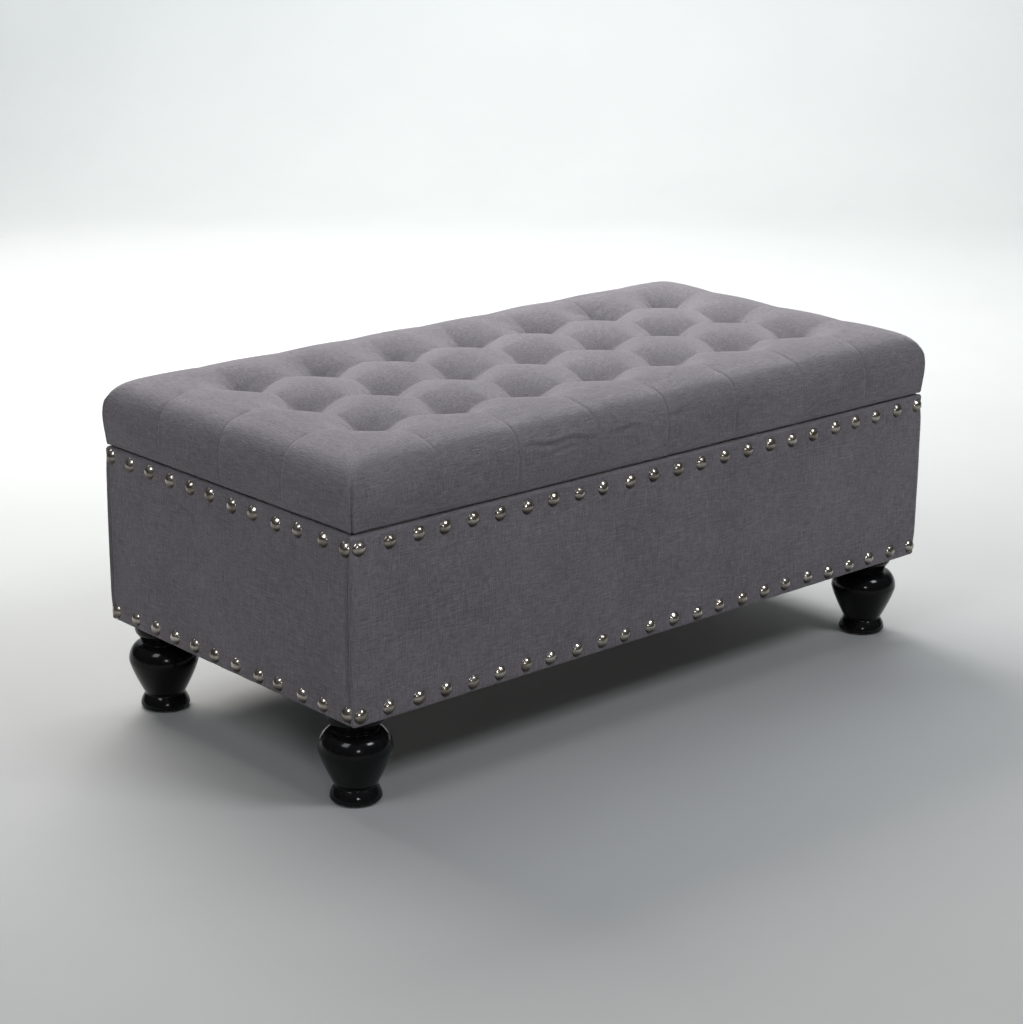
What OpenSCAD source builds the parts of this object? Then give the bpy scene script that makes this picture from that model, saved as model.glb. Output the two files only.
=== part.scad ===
// Storage ottoman: an upholstered box on turned legs, closed by a tufted lid that hinges at the back.
// Millimetres. +X runs to the right along the box, +Y runs towards the hinges and +Z is up.
// The origin is on the floor, below the middle of the box.

/* [Box] */
// Length of the box over its fabric
body_l = 1016; // [920:4:1120]
// Depth of the box over its fabric
body_w = 508; // [460:4:560]
// Height of the box, from its lower edge to its upper edge
body_h = 237; // [235:1:280]
// Thickness of the four side panels
panel_t = 12; // [9:1:15]
// Thickness of the fabric and wadding on the outside of the panels
cover_t = 3; // [2:0.5:4]
// Thickness of the floor panel
floor_t = 5; // [4:1:9]

/* [Legs] */
// Height of the box's lower edge above the floor
leg_h = 118; // [90:1:150]
// Distance from a leg's axis to the outer face of the box's end
leg_inset_end = 40; // [38:1:60]
// Distance from a leg's axis to the outer face of the box's long side
leg_inset_side = 50; // [46:1:60]
// Radius of the bulb of a leg
leg_bulb_r = 46; // [40:0.5:46]

/* [Lid] */
// Height of the lid, from its underside to the top of the tufting
lid_h = 89; // [80:1:110]
// Gap between the closed lid and the box
lid_gap = 3; // [3:0.1:4]
// Radius of the lid's rounded upper edge
lid_edge_r = 30; // [20:1:34]
// Number of tufts along the length
tufts_x = 7; // [5:1:8]
// Number of tufts across the depth
tufts_y = 3; // [2:1:3]
// Depth of a tuft below the top of the lid
tuft_depth = 38; // [28:1:44]

/* [Nails] */
// Diameter of a nail's head
nail_d = 19; // [14:0.5:20]
// How far a nail's head stands out from the fabric
nail_rise = 6.6; // [6.6:0.1:7]
// Nails in a row along the front and along the back
nails_long = 24; // [18:1:28]
// Nails in a row along each end
nails_short = 12; // [9:1:14]

/* [Hinges and stays] */
// Distance from the middle of the lid to the middle of each hinge
hinge_x = 320; // [200:10:360]
// Length of each hinge
hinge_l = 76; // [60:1:90]
// Distance between the pivots of a stay's arm
stay_arm = 140; // [120:1:150]

/* [Hidden] */
$fn = 64;

// Thin layers
fabric_t = 1.2;
dust_t = 0.8;
lining_t = 1;
lid_lining_t = 0.6;
lid_cover_t = 2;
gap = 0.3;

// Levels
dust_z = leg_h - dust_t;
box_top = leg_h + body_h;
panel_z0 = leg_h + fabric_t;
panel_z1 = box_top - fabric_t;
block_h = 32;
floor_z = leg_h + block_h + floor_t;
lid_z0 = box_top + lid_gap;
lid_z1 = lid_z0 + lid_h;
board_t = 12;
board_z0 = lid_z0 + fabric_t;
foam_z0 = board_z0 + board_t;

// Half sizes of the box: over the fabric, over the panels and inside the panels
out_x = body_l / 2;
out_y = body_w / 2;
pan_x = out_x - cover_t;
pan_y = out_y - cover_t;
in_x = pan_x - panel_t;
in_y = pan_y - panel_t;

// Half sizes of what is under the lid's fabric
board_x = out_x - lid_cover_t - gap;
board_y = out_y - lid_cover_t - gap;

// Legs: radii and heights of the turned outline, above the floor
glide_t = 2;
glide_r = 20;
foot_r = 32.5;
foot_z = 8.5;
waist_r = 26;
waist_z = 20.5;
bulb_z = 67.5;
neck_r = 29;
neck_z = 92;
top_r = 37;
leg_x = out_x - leg_inset_end;
leg_y = out_y - leg_inset_side;
block_s = 70;
bolt_r = 4;
bolt_depth = 38;
tee_r = 5.5;
tee_flange_r = 11;
tee_flange_t = 1.5;

// Tufting
tuft_px = body_l / (tufts_x + 1);
tuft_py = body_w / (tufts_y + 1);
well_top_r = 27;
well_r = 12;
button_r = 11;
button_h = 7;
tie_r = 0.8;
tie_hole_r = 3;
anchor_r = 9;
anchor_t = 0.9;
tuft_z = lid_z1 - tuft_depth;

// Nails
nail_r = nail_d / 2;
nail_edge_x = 10;
nail_edge_y = 12;
nail_top_z = box_top - 16.5;
nail_low_z = leg_h + 14;
nail_shank_r = 1.2;
nail_shank = 10;

// Hinges: the axis runs along X, level with the middle of the gap
knuckle_r = 3.2;
pin_r = 1.5;
pin_play = 0.05;
leaf_t = 1.2;
leaf_w = 14;
knuckles = 5;
knuckle_gap = 0.3;
axis_y = out_y + knuckle_r + 0.2;
axis_z = box_top + lid_gap / 2;
leaf_screw_y = out_y - cover_t - panel_t / 2;

// Stays: the hinge axis and a stay's three pivots are the corners of a rhombus
arm_w = 16;
arm_t = 2;
rivet_r = 2.5;
rivet_head_r = 5;
rivet_head_t = 1.2;
bracket_t = 1.5;
low_pivot_y = in_y - lining_t - 18;
low_pivot_z = axis_z - sqrt(pow(stay_arm, 2) - pow(axis_y - low_pivot_y, 2));
lid_pivot_z = box_top - 11;
lid_pivot_y = axis_y - sqrt(pow(stay_arm, 2) - pow(axis_z - lid_pivot_z, 2));
mid_pivot_y = low_pivot_y + lid_pivot_y - axis_y;
mid_pivot_z = low_pivot_z + lid_pivot_z - axis_z;
// X of the layers of a stay, from the lining of the end panel inwards
bracket_x = in_x - lining_t;
low_arm_x = bracket_x - bracket_t - gap;
top_arm_x = low_arm_x - arm_t - gap;
flange_x = top_arm_x - arm_t - gap;
flange_w = 20;
bracket_drop = 40;
lid_bracket_l = 56;
flange_z = lid_z0 - lid_lining_t;

// Screws
screw_r = 1.75;
screw_head_r = 3.4;
screw_head_t = 1.5;
screw_l = 11;
panel_screw_l = 42;

// ---- Shared shapes ----

// A block from its two corners
module span(a, b) {
    translate(a) cube(b - a);
}

// A cylinder along +X from the point p
module rod_x(p, r, l) {
    translate(p) rotate([0, 90, 0]) cylinder(r = r, h = l);
}

// Mirrors its children across the plane normal to v when on is true
module flip(on, v) {
    if (on) mirror(v) children();
    else children();
}

// Places what is drawn for the right end: s is -1 for the left end and 1 for the right
module at_end(s) {
    flip(s < 0, [1, 0, 0]) children();
}

module both_ends() {
    for (s = [-1, 1]) at_end(s) children();
}

// Copies at the four legs
module each_leg() {
    for (sx = [-1, 1], sy = [-1, 1]) translate([sx * leg_x, sy * leg_y, 0]) children();
}

// Copies at the tufts
module each_tuft() {
    for (i = [1:tufts_x], j = [1:tufts_y])
        translate([i * tuft_px - out_x, j * tuft_py - out_y, 0]) children();
}

// A pan-head wood screw that points down, its head's underside at z = 0
module wood_screw(l) {
    translate([0, 0, -l]) cylinder(r = screw_r, h = l);
    cylinder(r = screw_head_r, h = screw_head_t);
}

// ---- Box: panels and rails ----

module long_panel(s) {
    color("burlywood")
        span([-pan_x, s > 0 ? in_y : -pan_y, panel_z0], [pan_x, s > 0 ? pan_y : -in_y, panel_z1]);
}

module end_panel(s) {
    color("burlywood")
        at_end(s) span([in_x, -in_y, panel_z0], [pan_x, in_y, panel_z1]);
}

module floor_panel() {
    color("tan") span([-in_x, -in_y, floor_z - floor_t], [in_x, in_y, floor_z]);
}

module long_rail(s) {
    rail_w = 20;
    y0 = s > 0 ? in_y - rail_w : -in_y;
    color("wheat")
        span([block_s - in_x, y0, leg_h], [in_x - block_s, y0 + rail_w, floor_z - floor_t]);
}

module centre_rail() {
    rail_w = 20;
    color("wheat")
        span([-rail_w / 2, rail_w - in_y, leg_h], [rail_w / 2, in_y - rail_w, floor_z - floor_t]);
}

// A corner block, bored through for the tee nut and countersunk for its flange
module leg_block(sx, sy) {
    x0 = sx > 0 ? in_x - block_s : -in_x;
    y0 = sy > 0 ? in_y - block_s : -in_y;
    top = floor_z - floor_t;
    color("wheat") difference() {
        span([x0, y0, leg_h], [x0 + block_s, y0 + block_s, top]);
        translate([sx * leg_x, sy * leg_y, leg_h - 1]) cylinder(r = tee_r, h = block_h + 2);
        translate([sx * leg_x, sy * leg_y, top - tee_flange_t]) cylinder(r = tee_flange_r, h = 2);
    }
}

// Screws through the long panels into the edges of the end panels
module panel_screws() {
    rows = 4;
    inset = 30;
    pitch = (panel_z1 - panel_z0 - 2 * inset) / (rows - 1);
    color("silver") both_ends()
        for (s = [-1, 1], k = [0:rows - 1])
            translate([in_x + panel_t / 2, s * pan_y, panel_z0 + inset + k * pitch])
                rotate([s * 90, 0, 0]) {
                    cylinder(r = screw_r, h = panel_screw_l);
                    cylinder(r1 = screw_head_r, r2 = screw_r, h = screw_head_t);
                }
}

// ---- Box: upholstery ----

// Fabric on a long side, turned over the upper edge and under the lower edge
module long_cover(s) {
    color("dimgray") flip(s > 0, [0, 1, 0]) {
        span([-out_x, -out_y, leg_h], [out_x, -pan_y, box_top]);
        span([-pan_x, -pan_y, leg_h], [pan_x, -in_y, panel_z0]);
        span([-pan_x, -pan_y, panel_z1], [pan_x, lining_t - in_y, box_top]);
    }
}

// Fabric on an end, between the fabrics of the long sides
module end_cover(s) {
    color("dimgray") at_end(s) {
        span([pan_x, -pan_y, leg_h], [out_x, pan_y, box_top]);
        span([in_x, -in_y, leg_h], [pan_x, in_y, panel_z0]);
        span([in_x - lining_t, lining_t - in_y, panel_z1], [pan_x, in_y - lining_t, box_top]);
    }
}

module wall_lining() {
    color("black") difference() {
        span([-in_x, -in_y, floor_z], [in_x, in_y, panel_z1]);
        span(
            [lining_t - in_x, lining_t - in_y, floor_z - 1],
            [in_x - lining_t, in_y - lining_t, box_top]
        );
    }
}

module floor_lining() {
    color("black") span(
        [lining_t - in_x, lining_t - in_y, floor_z],
        [in_x - lining_t, in_y - lining_t, floor_z + lining_t]
    );
}

module dust_cover() {
    margin = 14;
    color("black") difference() {
        span([margin - out_x, margin - out_y, dust_z], [out_x - margin, out_y - margin, leg_h]);
        each_leg() translate([0, 0, dust_z - 1]) cylinder(r = tee_r, h = dust_t + 2);
    }
}

// ---- Box: nails ----

// A domed nail that stands out along -Y, its head's flat back at y = 0
module nail() {
    sphere_r = (pow(nail_r, 2) + pow(nail_rise, 2)) / (2 * nail_rise);
    rotate([90, 0, 0]) {
        intersection() {
            translate([0, 0, nail_rise - sphere_r]) sphere(r = sphere_r);
            cylinder(r = nail_r + 1, h = nail_rise + 1);
        }
        translate([0, 0, -nail_shank]) cylinder(r = nail_shank_r, h = nail_shank + 1);
    }
}

// The upper and lower rows of nails along a side of the given half length
module nail_rows(half, edge, count) {
    pitch = 2 * (half - edge) / (count - 1);
    color("gainsboro")
        for (z = [nail_low_z, nail_top_z], k = [0:count - 1])
            translate([edge - half + k * pitch, 0, z]) nail();
}

module nails_long_side(s) {
    rotate([0, 0, s > 0 ? 180 : 0]) translate([0, -out_y, 0]) nail_rows(out_x, nail_edge_x, nails_long);
}

module nails_end_side(s) {
    rotate([0, 0, s * 90]) translate([0, -out_x, 0]) nail_rows(out_y, nail_edge_y, nails_short);
}

// ---- Legs ----

// Bell of the foot, from its widest radius a at z0 in to radius b at z1
function bell(a, b, z0, z1, steps) = [
    for (k = [0:steps - 1]) let (t = k / steps)
        [a - (a - b) * pow(t, 1.7), z0 + (z1 - z0) * t]
];

// Underside of the bulb, from radius a at z0 out to its widest radius b at z1
function belly(a, b, z0, z1, steps) = [
    for (k = [0:steps - 1]) let (t = k / steps)
        [b - (b - a) * pow(1 - t, 1.25), z0 + (z1 - z0) * t]
];

// Smooth step from radius a at z0 to radius b at z1
function cove(a, b, z0, z1, steps) = [
    for (k = [0:steps - 1]) let (t = k / steps)
        [a + (b - a) * (1 - cos(180 * t)) / 2, z0 + (z1 - z0) * t]
];

// Quarter of an ellipse, from its widest point at z0 in to radius b at z1
function shoulder(a, b, z0, z1, steps) = [
    for (k = [0:steps]) let (t = 90 * k / steps)
        [b + (a - b) * cos(t), z0 + (z1 - z0) * sin(t)]
];

function leg_outline() = concat(
    [[0, glide_t], [27.5, glide_t], [30, glide_t + 1], [31.6, glide_t + 3]],
    bell(foot_r, waist_r, foot_z, waist_z, 9),
    belly(waist_r, leg_bulb_r, waist_z, bulb_z, 14),
    shoulder(leg_bulb_r, neck_r, bulb_z, neck_z, 9),
    cove(neck_r - 1, top_r, neck_z + 1, dust_z - 7, 8),
    [[top_r, dust_z - 7], [top_r, dust_z], [0, dust_z]]
);

module leg(sx, sy) {
    color("black") translate([sx * leg_x, sy * leg_y, 0]) difference() {
        rotate_extrude() polygon(leg_outline());
        translate([0, 0, dust_z - bolt_depth]) cylinder(r = bolt_r, h = bolt_depth + 1);
    }
}

module hanger_bolts() {
    color("silver") each_leg() translate([0, 0, dust_z - bolt_depth])
        cylinder(r = bolt_r, h = bolt_depth + dust_t + block_h - 4);
}

// Flanged barrels in the corner blocks, bored for the hanger bolts
module tee_nuts() {
    top = floor_z - floor_t;
    color("silver") each_leg() difference() {
        union() {
            translate([0, 0, leg_h + 14]) cylinder(r = tee_r, h = block_h - 14);
            translate([0, 0, top - tee_flange_t]) cylinder(r = tee_flange_r, h = tee_flange_t);
        }
        translate([0, 0, leg_h]) cylinder(r = bolt_r, h = block_h + 1);
    }
}

module glides() {
    color("black") each_leg() cylinder(r = glide_r, h = glide_t);
}

// ---- Lid ----

// A rectangle with its two upper corners rounded: x is half its width, from z0 up to z1
module arch(x, z0, z1, r) {
    translate([-x, z0]) square([2 * x, z1 - z0 - r]);
    translate([r - x, z0]) square([2 * (x - r), z1 - z0]);
    for (s = [-1, 1]) translate([s * (x - r), z1 - r]) circle(r = r);
}

// A block whose four upper edges are rounded
module pillow(x, y, z0, z1, r) {
    intersection() {
        translate([0, y + 1, 0]) rotate([90, 0, 0]) linear_extrude(2 * y + 2) arch(x, z0, z1, r);
        translate([-x - 1, 0, 0]) rotate([90, 0, 90]) linear_extrude(2 * x + 2) arch(y, z0, z1, r);
    }
}

// A tuft's well between two heights, widened all round by more
module well(more, z0, z1) {
    slope = (well_top_r - well_r) / tuft_depth;
    r0 = well_r + more + slope * (z0 - tuft_z);
    translate([0, 0, z0]) cylinder(r1 = r0, r2 = r0 + slope * (z1 - z0), h = z1 - z0);
}

module lid_board() {
    color("burlywood") difference() {
        span([-board_x, -board_y, board_z0], [board_x, board_y, foam_z0]);
        each_tuft() translate([0, 0, board_z0 - 1]) cylinder(r = tie_hole_r, h = board_t + 2);
    }
}

module lid_foam() {
    color("khaki") difference() {
        pillow(board_x, board_y, foam_z0, lid_z1 - lid_cover_t - gap, lid_edge_r - lid_cover_t);
        each_tuft() {
            well(lid_cover_t + gap, tuft_z - lid_cover_t - gap, lid_z1);
            translate([0, 0, foam_z0 - 1]) cylinder(r = tie_hole_r, h = lid_h);
        }
    }
}

// The tufted fabric: a shell over the foam and board, with a pocket down to each button
module lid_cover() {
    turn_in = 30;
    color("dimgray") difference() {
        union() {
            difference() {
                pillow(out_x, out_y, lid_z0, lid_z1, lid_edge_r);
                pillow(
                    out_x - lid_cover_t, out_y - lid_cover_t,
                    board_z0, lid_z1 - lid_cover_t, lid_edge_r - lid_cover_t
                );
                span(
                    [turn_in - out_x, turn_in - out_y, lid_z0 - 1],
                    [out_x - turn_in, out_y - turn_in, board_z0 + 1]
                );
            }
            each_tuft() well(lid_cover_t, tuft_z - lid_cover_t, lid_z1 - 1);
        }
        each_tuft() {
            well(0, tuft_z, lid_z1 + 1);
            translate([0, 0, tuft_z - lid_cover_t - 1]) cylinder(r = tie_hole_r, h = lid_cover_t + 2);
        }
    }
}

module lid_lining() {
    margin = 18;
    color("black")
        span([margin - out_x, margin - out_y, flange_z], [out_x - margin, out_y - margin, lid_z0]);
}

module tuft_buttons() {
    ball_r = (pow(button_r, 2) + pow(button_h, 2)) / (2 * button_h);
    color("dimgray") each_tuft() translate([0, 0, tuft_z]) intersection() {
        translate([0, 0, button_h - ball_r]) sphere(r = ball_r);
        cylinder(r = button_r + 1, h = button_h + 1);
    }
}

module tuft_ties() {
    color("white") each_tuft() translate([0, 0, board_z0])
        cylinder(r = tie_r, h = tuft_z - board_z0);
}

module tuft_anchors() {
    color("black") each_tuft() translate([0, 0, board_z0 - anchor_t])
        cylinder(r = anchor_r, h = anchor_t);
}

// ---- Hinges ----

// Length of one knuckle's share of the hinge
knuckle_p = hinge_l / knuckles;

// The knuckles with index k where k is odd or even: first is 0 for the box's leaf and 1 for the lid's
module hinge_leaf(first, z) {
    difference() {
        union() {
            span([-hinge_l / 2, axis_y - knuckle_r - leaf_w, z], [hinge_l / 2, axis_y, z + leaf_t]);
            for (k = [first:2:knuckles - 1])
                rod_x([knuckle_x(k), axis_y, axis_z], knuckle_r, knuckle_p - knuckle_gap);
        }
        for (k = [1 - first:2:knuckles - 1])
            span(
                [knuckle_x(k) - knuckle_gap, axis_y - knuckle_r - gap, z - 5],
                [knuckle_x(k) + knuckle_p, axis_y + knuckle_r + 1, z + 5]
            );
        rod_x([-hinge_l / 2 - 1, axis_y, axis_z], pin_r + pin_play, hinge_l + 2);
        for (s = [-1, 1])
            translate([s * hinge_l / 3, leaf_screw_y, z - 1]) cylinder(r = screw_r + 0.1, h = leaf_t + 2);
    }
}

function knuckle_x(k) = k * knuckle_p - hinge_l / 2 + knuckle_gap / 2;

module hinge_box_leaf(s) {
    color("silver") translate([s * hinge_x, 0, 0]) hinge_leaf(0, box_top);
}

module hinge_lid_leaf(s) {
    color("silver") translate([s * hinge_x, 0, 0]) hinge_leaf(1, lid_z0 - leaf_t);
}

module hinge_pins() {
    cap_t = 1;
    color("silver") for (s = [-1, 1]) translate([s * hinge_x, 0, 0]) {
        rod_x([-hinge_l / 2 - cap_t, axis_y, axis_z], pin_r, hinge_l + 2 * cap_t);
        for (x = [-hinge_l / 2 - cap_t, hinge_l / 2])
            rod_x([x, axis_y, axis_z], knuckle_r - 0.6, cap_t);
    }
}

// Screws flush with the leaves: they run up into the lid when up is true, else down into the box
module hinge_screws(z, up) {
    color("silver")
        for (s = [-1, 1], t = [-1, 1])
            translate([s * hinge_x + t * hinge_l / 3, leaf_screw_y, z]) flip(up, [0, 0, 1])
                translate([0, 0, -screw_l]) cylinder(r = screw_r, h = screw_l + leaf_t);
}

// ---- Stays ----

// A flat bar across X, of thickness t from x inwards, between two points of the YZ plane
module bar(x, t, y0, z0, y1, z1, w) {
    l = sqrt(pow(y1 - y0, 2) + pow(z1 - z0, 2));
    translate([x - t, y0, z0]) rotate([atan2(z1 - z0, y1 - y0), 0, 0]) {
        translate([0, 0, -w / 2]) cube([t, l, w]);
        rod_x([0, 0, 0], w / 2, t);
        rod_x([0, l, 0], w / 2, t);
    }
}

// A hole for a rivet's shank through everything near the point
module rivet_hole(y, z, play) {
    rod_x([flange_x - 5, y, z], rivet_r + play, bracket_x - flange_x + 10);
}

module stay_wall_bracket(s) {
    color("dimgray") at_end(s) difference() {
        bar(bracket_x, bracket_t, low_pivot_y, low_pivot_z, low_pivot_y, low_pivot_z - bracket_drop, 22);
        rivet_hole(low_pivot_y, low_pivot_z, 0);
        for (z = wall_screw_zs()) rod_x([bracket_x - 5, low_pivot_y, z], screw_r + 0.1, 10);
    }
}

function wall_screw_zs() = [for (d = [18, 29, 40]) low_pivot_z - d];

module stay_wall_rivets() {
    color("silver") both_ends() {
        rod_x([top_arm_x, low_pivot_y, low_pivot_z], rivet_r, bracket_x - top_arm_x);
        rod_x([top_arm_x - rivet_head_t, low_pivot_y, low_pivot_z], rivet_head_r, rivet_head_t);
    }
}

module stay_wall_screws() {
    color("silver") both_ends() for (z = wall_screw_zs())
        translate([bracket_x - bracket_t, low_pivot_y, z]) rotate([0, -90, 0]) wood_screw(screw_l);
}

module stay_lower_arm(s) {
    color("dimgray") at_end(s) difference() {
        bar(low_arm_x, arm_t, low_pivot_y, low_pivot_z, mid_pivot_y, mid_pivot_z, arm_w);
        rivet_hole(low_pivot_y, low_pivot_z, pin_play);
        rivet_hole(mid_pivot_y, mid_pivot_z, 0);
    }
}

module stay_elbow_rivet(s) {
    color("silver") at_end(s) {
        rod_x([flange_x, mid_pivot_y, mid_pivot_z], rivet_r, low_arm_x - flange_x);
        rod_x([flange_x - rivet_head_t, mid_pivot_y, mid_pivot_z], rivet_head_r, rivet_head_t);
    }
}

module stay_upper_arm(s) {
    color("dimgray") at_end(s) difference() {
        bar(top_arm_x, arm_t, mid_pivot_y, mid_pivot_z, lid_pivot_y, lid_pivot_z, arm_w);
        rivet_hole(mid_pivot_y, mid_pivot_z, pin_play);
        rivet_hole(lid_pivot_y, lid_pivot_z, pin_play);
    }
}

// An angle bracket under the lid: a flange against the lining and an ear down to the pivot
module stay_lid_bracket(s) {
    y0 = lid_pivot_y - lid_bracket_l / 2;
    color("dimgray") at_end(s) difference() {
        union() {
            span([flange_x - flange_w, y0, flange_z - bracket_t], [flange_x, y0 + lid_bracket_l, flange_z]);
            bar(flange_x, bracket_t, lid_pivot_y, lid_pivot_z, lid_pivot_y, lid_pivot_z + 1, arm_w);
            span(
                [flange_x - bracket_t, lid_pivot_y - arm_w / 2, lid_pivot_z],
                [flange_x, lid_pivot_y + arm_w / 2, flange_z]
            );
        }
        rivet_hole(lid_pivot_y, lid_pivot_z, 0);
        for (y = lid_screw_ys())
            translate([lid_screw_x(), y, flange_z - 5]) cylinder(r = screw_r + 0.1, h = 10);
    }
}

function lid_screw_ys() = [for (d = [-18, 18]) lid_pivot_y + d];
function lid_screw_x() = flange_x - flange_w / 2;

module stay_lid_rivets() {
    color("silver") both_ends() {
        head_x = top_arm_x + gap;
        rod_x([flange_x - bracket_t, lid_pivot_y, lid_pivot_z], rivet_r, head_x - flange_x + bracket_t);
        rod_x([head_x, lid_pivot_y, lid_pivot_z], rivet_head_r, rivet_head_t);
    }
}

module stay_lid_screws() {
    color("silver") both_ends() for (y = lid_screw_ys())
        translate([lid_screw_x(), y, flange_z - bracket_t]) mirror([0, 0, 1]) wood_screw(screw_l);
}

// ---- Nodes ----

long_panel(-1);  // front_panel
long_panel(1);  // back_panel
end_panel(-1);  // left_end_panel
end_panel(1);  // right_end_panel
floor_panel();
long_rail(-1);  // front_rail
long_rail(1);  // back_rail
centre_rail();
leg_block(-1, -1);  // leg_block_front_left
leg_block(1, -1);  // leg_block_front_right
leg_block(-1, 1);  // leg_block_back_left
leg_block(1, 1);  // leg_block_back_right
panel_screws();
long_cover(-1);  // cover_front
long_cover(1);  // cover_back
end_cover(-1);  // cover_left
end_cover(1);  // cover_right
nails_long_side(-1);  // nails_front
nails_long_side(1);  // nails_back
nails_end_side(-1);  // nails_left
nails_end_side(1);  // nails_right
wall_lining();
floor_lining();
dust_cover();
leg(-1, -1);  // leg_front_left
leg(1, -1);  // leg_front_right
leg(-1, 1);  // leg_back_left
leg(1, 1);  // leg_back_right
hanger_bolts();
tee_nuts();
glides();
hinge_box_leaf(-1);  // hinge_box_leaf_left
hinge_box_leaf(1);  // hinge_box_leaf_right
hinge_pins();
hinge_screws(box_top, false);  // hinge_box_screws
stay_wall_bracket(-1);  // stay_wall_bracket_left
stay_wall_bracket(1);  // stay_wall_bracket_right
stay_wall_rivets();
stay_wall_screws();
lid_board();
lid_foam();
lid_cover();
lid_lining();
tuft_buttons();
tuft_ties();
tuft_anchors();
hinge_lid_leaf(-1);  // hinge_lid_leaf_left
hinge_lid_leaf(1);  // hinge_lid_leaf_right
hinge_screws(lid_z0, true);  // hinge_lid_screws
stay_lid_bracket(-1);  // stay_lid_bracket_left
stay_lid_bracket(1);  // stay_lid_bracket_right
stay_lid_rivets();
stay_lid_screws();
stay_lower_arm(-1);  // stay_lower_arm_left
stay_lower_arm(1);  // stay_lower_arm_right
stay_elbow_rivet(-1);  // stay_elbow_rivet_left
stay_elbow_rivet(1);  // stay_elbow_rivet_right
stay_upper_arm(-1);  // stay_upper_arm_left
stay_upper_arm(1);  // stay_upper_arm_right
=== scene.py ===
"""Looks of the storage ottoman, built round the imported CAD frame. Metres, row frame, +Z up."""
import math

import bpy
import numpy as np
from mathutils import Matrix, Vector


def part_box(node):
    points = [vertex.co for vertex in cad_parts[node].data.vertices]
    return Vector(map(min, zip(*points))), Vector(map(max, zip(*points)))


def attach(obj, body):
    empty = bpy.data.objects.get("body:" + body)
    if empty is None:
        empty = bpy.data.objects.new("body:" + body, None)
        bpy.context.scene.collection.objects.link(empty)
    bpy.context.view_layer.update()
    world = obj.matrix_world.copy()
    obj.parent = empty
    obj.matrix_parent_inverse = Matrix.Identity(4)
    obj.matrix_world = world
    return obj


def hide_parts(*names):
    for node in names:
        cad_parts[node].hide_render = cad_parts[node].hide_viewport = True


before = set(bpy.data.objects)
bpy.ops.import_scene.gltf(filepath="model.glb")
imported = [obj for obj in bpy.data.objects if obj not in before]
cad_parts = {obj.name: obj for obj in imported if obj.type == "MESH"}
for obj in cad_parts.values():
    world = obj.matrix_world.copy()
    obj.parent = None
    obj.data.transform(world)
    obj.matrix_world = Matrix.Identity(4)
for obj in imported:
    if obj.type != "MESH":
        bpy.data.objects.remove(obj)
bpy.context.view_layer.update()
scene = bpy.context.scene
CORNERS = ("front_left", "front_right", "back_left", "back_right")
SIDES = ("front", "back", "left", "right")
MM = 0.001
rng = np.random.default_rng(7)


# ---------------- meshes

def add_mesh(name, points, faces):
    mesh = bpy.data.meshes.new(name)
    mesh.from_pydata(np.asarray(points, float).tolist(), [], [tuple(int(i) for i in f) for f in faces])
    mesh.polygons.foreach_set("use_smooth", [True] * len(mesh.polygons))
    mesh.update()
    piece = bpy.data.objects.new(name, mesh)
    scene.collection.objects.link(piece)
    return piece


def grid_faces(rows, cols, start=0, wrap=False, flip=False):
    """Quads over rows x cols points; with wrap the last column joins the first."""
    r = np.arange(rows - 1)[:, None]
    c = np.arange(cols if wrap else cols - 1)[None, :]
    n = (c + 1) % cols
    quads = np.stack([r * cols + c, r * cols + n, (r + 1) * cols + n, (r + 1) * cols + c], -1)
    quads = quads.reshape(-1, 4) + start
    return quads[:, ::-1] if flip else quads


def grid_normals(points, wrap=False):
    """Normals of a rows x cols x 3 grid, by central differences."""
    if wrap:
        across = np.roll(points, -1, 1) - np.roll(points, 1, 1)
    else:
        across = np.gradient(points, axis=1)
    down = np.gradient(points, axis=0)
    n = np.cross(across, down)
    return n / np.maximum(np.linalg.norm(n, axis=-1, keepdims=True), 1e-12)


def lathe(profile, segments, centre=(0.0, 0.0)):
    """Points and faces of a closed solid turned about Z; the profile's ends lie on the axis."""
    profile = np.asarray(profile, float)
    inner = profile[1:-1]
    a = np.arange(segments) * 2 * math.pi / segments
    ring = np.stack([np.cos(a), np.sin(a)], -1)
    heights = np.broadcast_to(inner[:, None, 1:], (len(inner), segments, 1))
    points = np.concatenate([inner[:, None, :1] * ring[None], heights], -1).reshape(-1, 3)
    count = len(points)
    points = np.vstack([points, [0, 0, profile[0, 1]], [0, 0, profile[-1, 1]]])
    points[:, :2] += centre
    faces = [list(f) for f in grid_faces(len(inner), segments, wrap=True)]
    last = (len(inner) - 1) * segments
    for k in range(segments):
        n = (k + 1) % segments
        faces.append([count, n, k])
        faces.append([count + 1, last + k, last + n])
    return points, faces


def joined(parts):
    """Several (points, faces) as one."""
    points, faces, start = [], [], 0
    for p, f in parts:
        points.append(p)
        faces += [[i + start for i in face] for face in f]
        start += len(p)
    return np.vstack(points), faces


def smooth_noise(p, scale, seed, octaves=2):
    """Smooth value noise from -1 to 1 at points p, with features about 1/scale metres across."""
    out, total = np.zeros(len(p)), 0.0
    for o in range(octaves):
        q = p * scale * 2 ** o + 37.1 * (seed + 3 * o)
        cell = np.floor(q).astype(np.int64)
        t = q - cell
        t = t * t * (3 - 2 * t)
        value = np.zeros(len(p))
        for corner in range(8):
            step = np.array([corner & 1, corner >> 1 & 1, corner >> 2 & 1])
            c = cell + step
            h = (c[:, 0] * 73856093) ^ (c[:, 1] * 19349663) ^ (c[:, 2] * 83492791) ^ (seed * 2654435761 + o)
            h = (h ^ (h >> 13)) * 1274126177 & 0x7FFFFFFF
            w = np.prod(np.where(step == 1, t, 1 - t), axis=1)
            value += w * ((h ^ (h >> 16)) % 65536 / 32767.5 - 1)
        out += value / 2 ** o
        total += 1 / 2 ** o
    return out / total


# ---------------- materials

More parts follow.
